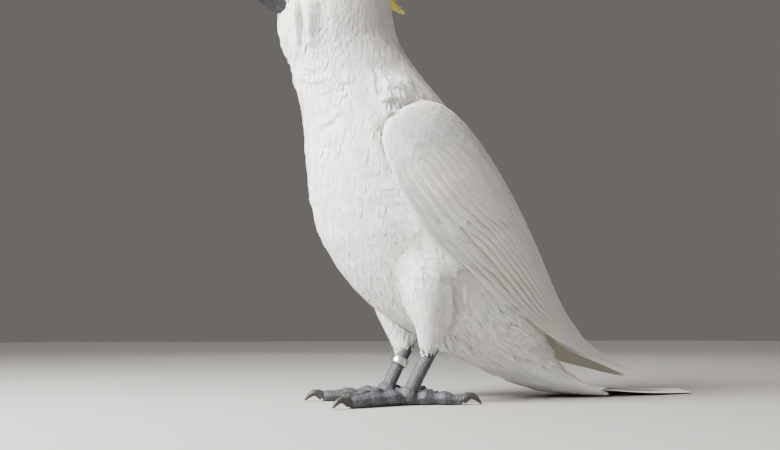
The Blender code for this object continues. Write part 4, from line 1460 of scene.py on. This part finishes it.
def build_eye(side, sign):
    centre, gaze = eye_aim(side, sign)
    points, triangles = turned_about(bulge, centre, gaze, 40)
    radial = np.linalg.norm(np.cross(points - centre, gaze), axis=1)
    iris = ramp(radial, 2.1, 2.7) * (1 - ramp(radial, 4.0, 4.6)) * (((points - centre) @ gaze) > 0)
    eyeball = write_piece("eyeball_" + side, points, triangles, eye_material,
                          attributes=[("iris", iris)])
    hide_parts("eye_" + side)


def build_eye_ring(side, sign):
    centre, gaze = eye_aim(side, sign)
    points, triangles = turned_about(ring_profile, centre, gaze, 110)
    level = unit(np.cross(gaze, (0, 0, 1)))
    upright = unit(np.cross(np.cross(gaze, (0, 0, 1)), gaze))
    across_eye, up_eye = (points - centre) @ level, (points - centre) @ upright
    away, turn = np.hypot(across_eye, up_eye), np.arctan2(up_eye, across_eye)
    folds = np.sin(away * 5.6 + 1.2 * np.sin(3 * turn + 1.0))
    folds += 0.6 * np.sin(26 * turn + 2.2 * np.sin(away * 1.7))
    wrinkled = 0.13 * folds * ramp(away, 4.9, 5.6) + 0.16 * smooth_noise(points, 0.8, 4.0)
    points = points + gaze * (wrinkled - 0.012 * across_eye ** 2)[:, None]
    points = points + level * (0.05 * across_eye)[:, None] - upright * (0.06 * up_eye)[:, None]
    write_piece("eye_ring_" + side, points, triangles, ring_material,
                attributes=[("rim", (1 - ramp(away, 4.7, 5.3)) * 0.9)])


for side, sign in SIDES.items():
    build_eye(side, sign)
    build_eye_ring(side, sign)

# %% [markdown]
# ## Feet
#
# A parrot's foot is covered with small pebble-like scales parted by pale grooves. Seeds are sown over the
# skin, and a point that is almost as near to a second seed as to the first lies in a groove. Pressing those
# points in and lightening them draws every scale, in geometry and in colour alike.
# %% The skin of the feet
foot_material = mottled("foot_skin", 0.58, ((0.020, 0.023, 0.029), (0.062, 0.067, 0.080)), 160.0,
                        mark=("groove", (0.17, 0.174, 0.182)), pits=(1300.0, 4.0, 0.4, 0.15),
                        Specular_IOR_Level=0.35)
SCALE_SIZE = 1.7
SCUTE_PITCH = 2.7  # mm between the bands across the top of a toe
JOINT_PITCH = 15.0  # mm between the swollen joints of a toe

FOOT_MIDDLE = (-82.6, -25.0, 0.0)  # where the left toes meet
RIGHT_FOOT_BACK = 5.0  # mm that the right leg stands further back
CUFF = 3.6  # how much of a claw's base the skin covers


def scaled_skin(points, size, draw):
    """How deep in a groove each point is, 0 on a scale and 1 in a groove."""
    seeds = spread(points[draw.permutation(len(points))], np.full(len(points), size))
    tree = KDTree(len(seeds))
    for i, seed in enumerate(seeds):
        tree.insert(Vector(seed), i)
    tree.balance()
    nearest_two = [tree.find_n(Vector(p), 2) for p in points.tolist()]
    gaps = np.array([second[2] - first[2] for first, second in nearest_two])
    return 1 - ramp(gaps, 0.0, 0.55 * size)


def toe_cuffs(side, middle):
    """Where each claw is cut for the skin's cuff, and where and which way each toe ends."""
    cuffs, toe_ends = {}, []
    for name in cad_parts:
        if name.startswith("claw_" + side):
            claw_points = read_mesh(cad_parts[name].data)[0]
            out = unit((claw_points.mean(0) - middle) * (1, 1, 0))
            start = (claw_points @ out).min() + CUFF
            cuffs[name] = (tuple(middle + out * (start - middle @ out)), tuple(out))
            toe_ends.append((claw_points[np.abs(claw_points @ out - start) < 1.8].mean(0), out))
    return cuffs, toe_ends


# %% [markdown]
# Two toes point forward and two back. Foot and claws are fused first, each claw cut off short, so that the
# skin ends in a cuff round its claw. The scales are then pressed in.
# %% Feet
def build_foot(side, sign):
    middle = np.array(FOOT_MIDDLE) * (1, -sign, 1) + (RIGHT_FOOT_BACK if side == "right" else 0.0, 0, 0)
    cuffs, toe_ends = toe_cuffs(side, middle)
    points, triangles, normals = fine_part(["foot_" + side, *cuffs], 0.6, 4, swell=0.3, keep=cuffs)
    draw = np.random.default_rng(71)
    pebbles = scaled_skin(points, SCALE_SIZE, draw)
    reach = np.linalg.norm((points - middle)[:, :2], axis=1)
    on_toe = ramp(reach, 8.0, 11.0) * ramp(13.5 - points[:, 2], 0, 2)
    top = on_toe * ramp(normals[:, 2], 0.35, 0.65)
    bands = np.abs(np.sin(reach * math.pi / SCUTE_PITCH + 0.5 * smooth_noise(points, 5.0, 2.0)))
    groove = pebbles ** 2 * (1 - top) + (1 - ramp(bands, 0.05, 0.42)) * top
    swollen = 0.5 * np.cos((reach - 14.0) * 2 * math.pi / JOINT_PITCH) * on_toe
    creased = smooth_noise(points, 3.5, 8.0) * 0.25
    press = ramp(points[:, 2], 0.3, 1.2)
    points = points + normals * ((0.1 + swollen + creased - 0.42 * groove) * press)[:, None]
    for centre, out in toe_ends:  # a toe narrows to the base of its claw
        ahead = (points - centre) @ out
        aside = points - centre - ahead[:, None] * out
        squeeze = 0.42 * ramp(ahead, -7.0, 1.0) * (np.linalg.norm(aside, axis=1) < 8) * (ahead < 4)
        points = points - aside * squeeze[:, None]
    points[:, 2] = np.maximum(points[:, 2], 0.0)
    foot = write_piece("foot_skin_" + side, points, triangles, foot_material,
                       attributes=[("groove", groove * (0.35 + 0.5 * draw.random(len(points))))])
    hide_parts("foot_" + side)


for side, sign in SIDES.items():
    build_foot(side, sign)

# %% [markdown]
# Claws are smooth curved horn with a little shine, and fine ridges round them.
# %% Claws
claw_material = mottled("claw_horn", 0.36, ((0.016, 0.015, 0.015), (0.055, 0.052, 0.048)), 420.0, 4.0,
                        Specular_IOR_Level=0.4)
for name in sorted(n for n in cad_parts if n.startswith("claw_")):
    points, triangles, normals = fine_part([name], 0.35, 14, swell=0.35)
    ridges = 0.03 * np.sin(points[:, 2] * 3.0 + points[:, 0] * 1.3)
    points = points + normals * (ridges + 0.12)[:, None]
    points[:, 2] = np.maximum(points[:, 2], 0.0)
    claw = write_piece(name + "_horn", points, triangles, claw_material)
    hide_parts(name)

# %% [markdown]
# The leg ring is a plain bright band, rolled from strip metal, so its edges are softly rounded.
# %% Leg ring
ring_metal = mottled("ring_metal", 0.30, ((0.62, 0.62, 0.64), (0.86, 0.86, 0.87)), 800.0, 5.0,
                     Metallic=1.0)
ring_points = read_mesh(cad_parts["leg_ring"].data)[0]
ring_centre = ring_points.mean(0)
ring_axis = np.linalg.svd(ring_points - ring_centre)[2]
uneven = np.linalg.norm(np.cross(ring_points[:, None] - ring_centre, ring_axis[None]), axis=2).std(0)
axis = ring_axis[int(np.argmin(uneven))]  # every point of a ring is about as far from its axis
heights = (ring_points - ring_centre) @ axis
radii = np.linalg.norm(np.cross(ring_points - ring_centre, axis), axis=1)
inner, outer, half_high = radii.min(), radii.max(), heights.max()
EDGE = 0.3  # radius of the rounded edges
upper_half = [(inner, half_high - EDGE), (inner + EDGE, half_high), (outer - EDGE, half_high),
              (outer, half_high - EDGE), (outer + 0.08, 0.0)]
lower_half = [(radius, -height) for radius, height in reversed(upper_half[:-1])]
points, triangles = turned_about(upper_half + lower_half + upper_half[:1], ring_centre, axis, 48)
ring = write_piece("leg_ring_band", points, triangles, ring_metal)
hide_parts("leg_ring")
print("ring: inner radius", inner.round(1), "outer", outer.round(1), "half height", half_high.round(1))

# %% [markdown]
# ## Floor and light
#
# A plain pale floor and soft lamps, as in a museum studio. The key light comes from the front left, where
# the bird's breast is brightest, and a weaker warm lamp fills the wing side.
# %% Floor
floor_mesh = bmesh.new()
bmesh.ops.create_grid(floor_mesh, x_segments=1, y_segments=1, size=6.0)
floor_data = bpy.data.meshes.new("floor")
floor_mesh.to_mesh(floor_data)
floor_mesh.free()
floor_data.materials.append(mottled("floor_paint", 0.8, ((0.37, 0.357, 0.343), (0.40, 0.387, 0.373)), 3.0,
                                    Specular_IOR_Level=0.2))
floor = add_object("floor", floor_data)

# %% [markdown]
# The key light is a broad sun, as from a bright overcast sky. Four discs add the soft glow of a window and
# the light that walls and floor throw back.
# %% Lamps and air
sun = bpy.data.lights.new("key", "SUN")
sun.energy = 2.45
sun.angle = math.radians(34)
sun.color = (1.0, 0.985, 0.955)
aimed_object("key", sun, (0, 0, 0), (1150, 90, -800))
LAMPS = [  # name, place, aim, size, watts, colour
    ("window", (-820, -150, 620), (-120, -20, 230), 480, 40.0, (1.0, 0.985, 0.945)),
    ("fill", (1000, -1000, 500), (0, 0, 130), 1100, 3.4, (1.0, 0.85, 0.76)),
    ("low", (-500, -900, 120), (-60, 0, 90), 500, 0.6, (0.80, 0.88, 1.0)),
    ("back", (500, 1200, 1000), (0, 0, 200), 1000, 5.0, (0.97, 0.98, 1.0)),
]
for name, place, aim, size, watts, colour in LAMPS:
    lamp = bpy.data.lights.new(name, "AREA")
    lamp.shape = "DISK"
    lamp.size = size * MM
    lamp.energy = watts
    lamp.color = colour
    aimed_object(name, lamp, place, aim)
world = bpy.data.worlds.new("air")
world.use_nodes = True
world.node_tree.nodes["Background"].inputs["Color"].default_value = (0.50, 0.475, 0.45, 1)
world.node_tree.nodes["Background"].inputs["Strength"].default_value = 0.30
bpy.context.scene.world = world
print("lamps:", [row[0] for row in LAMPS])
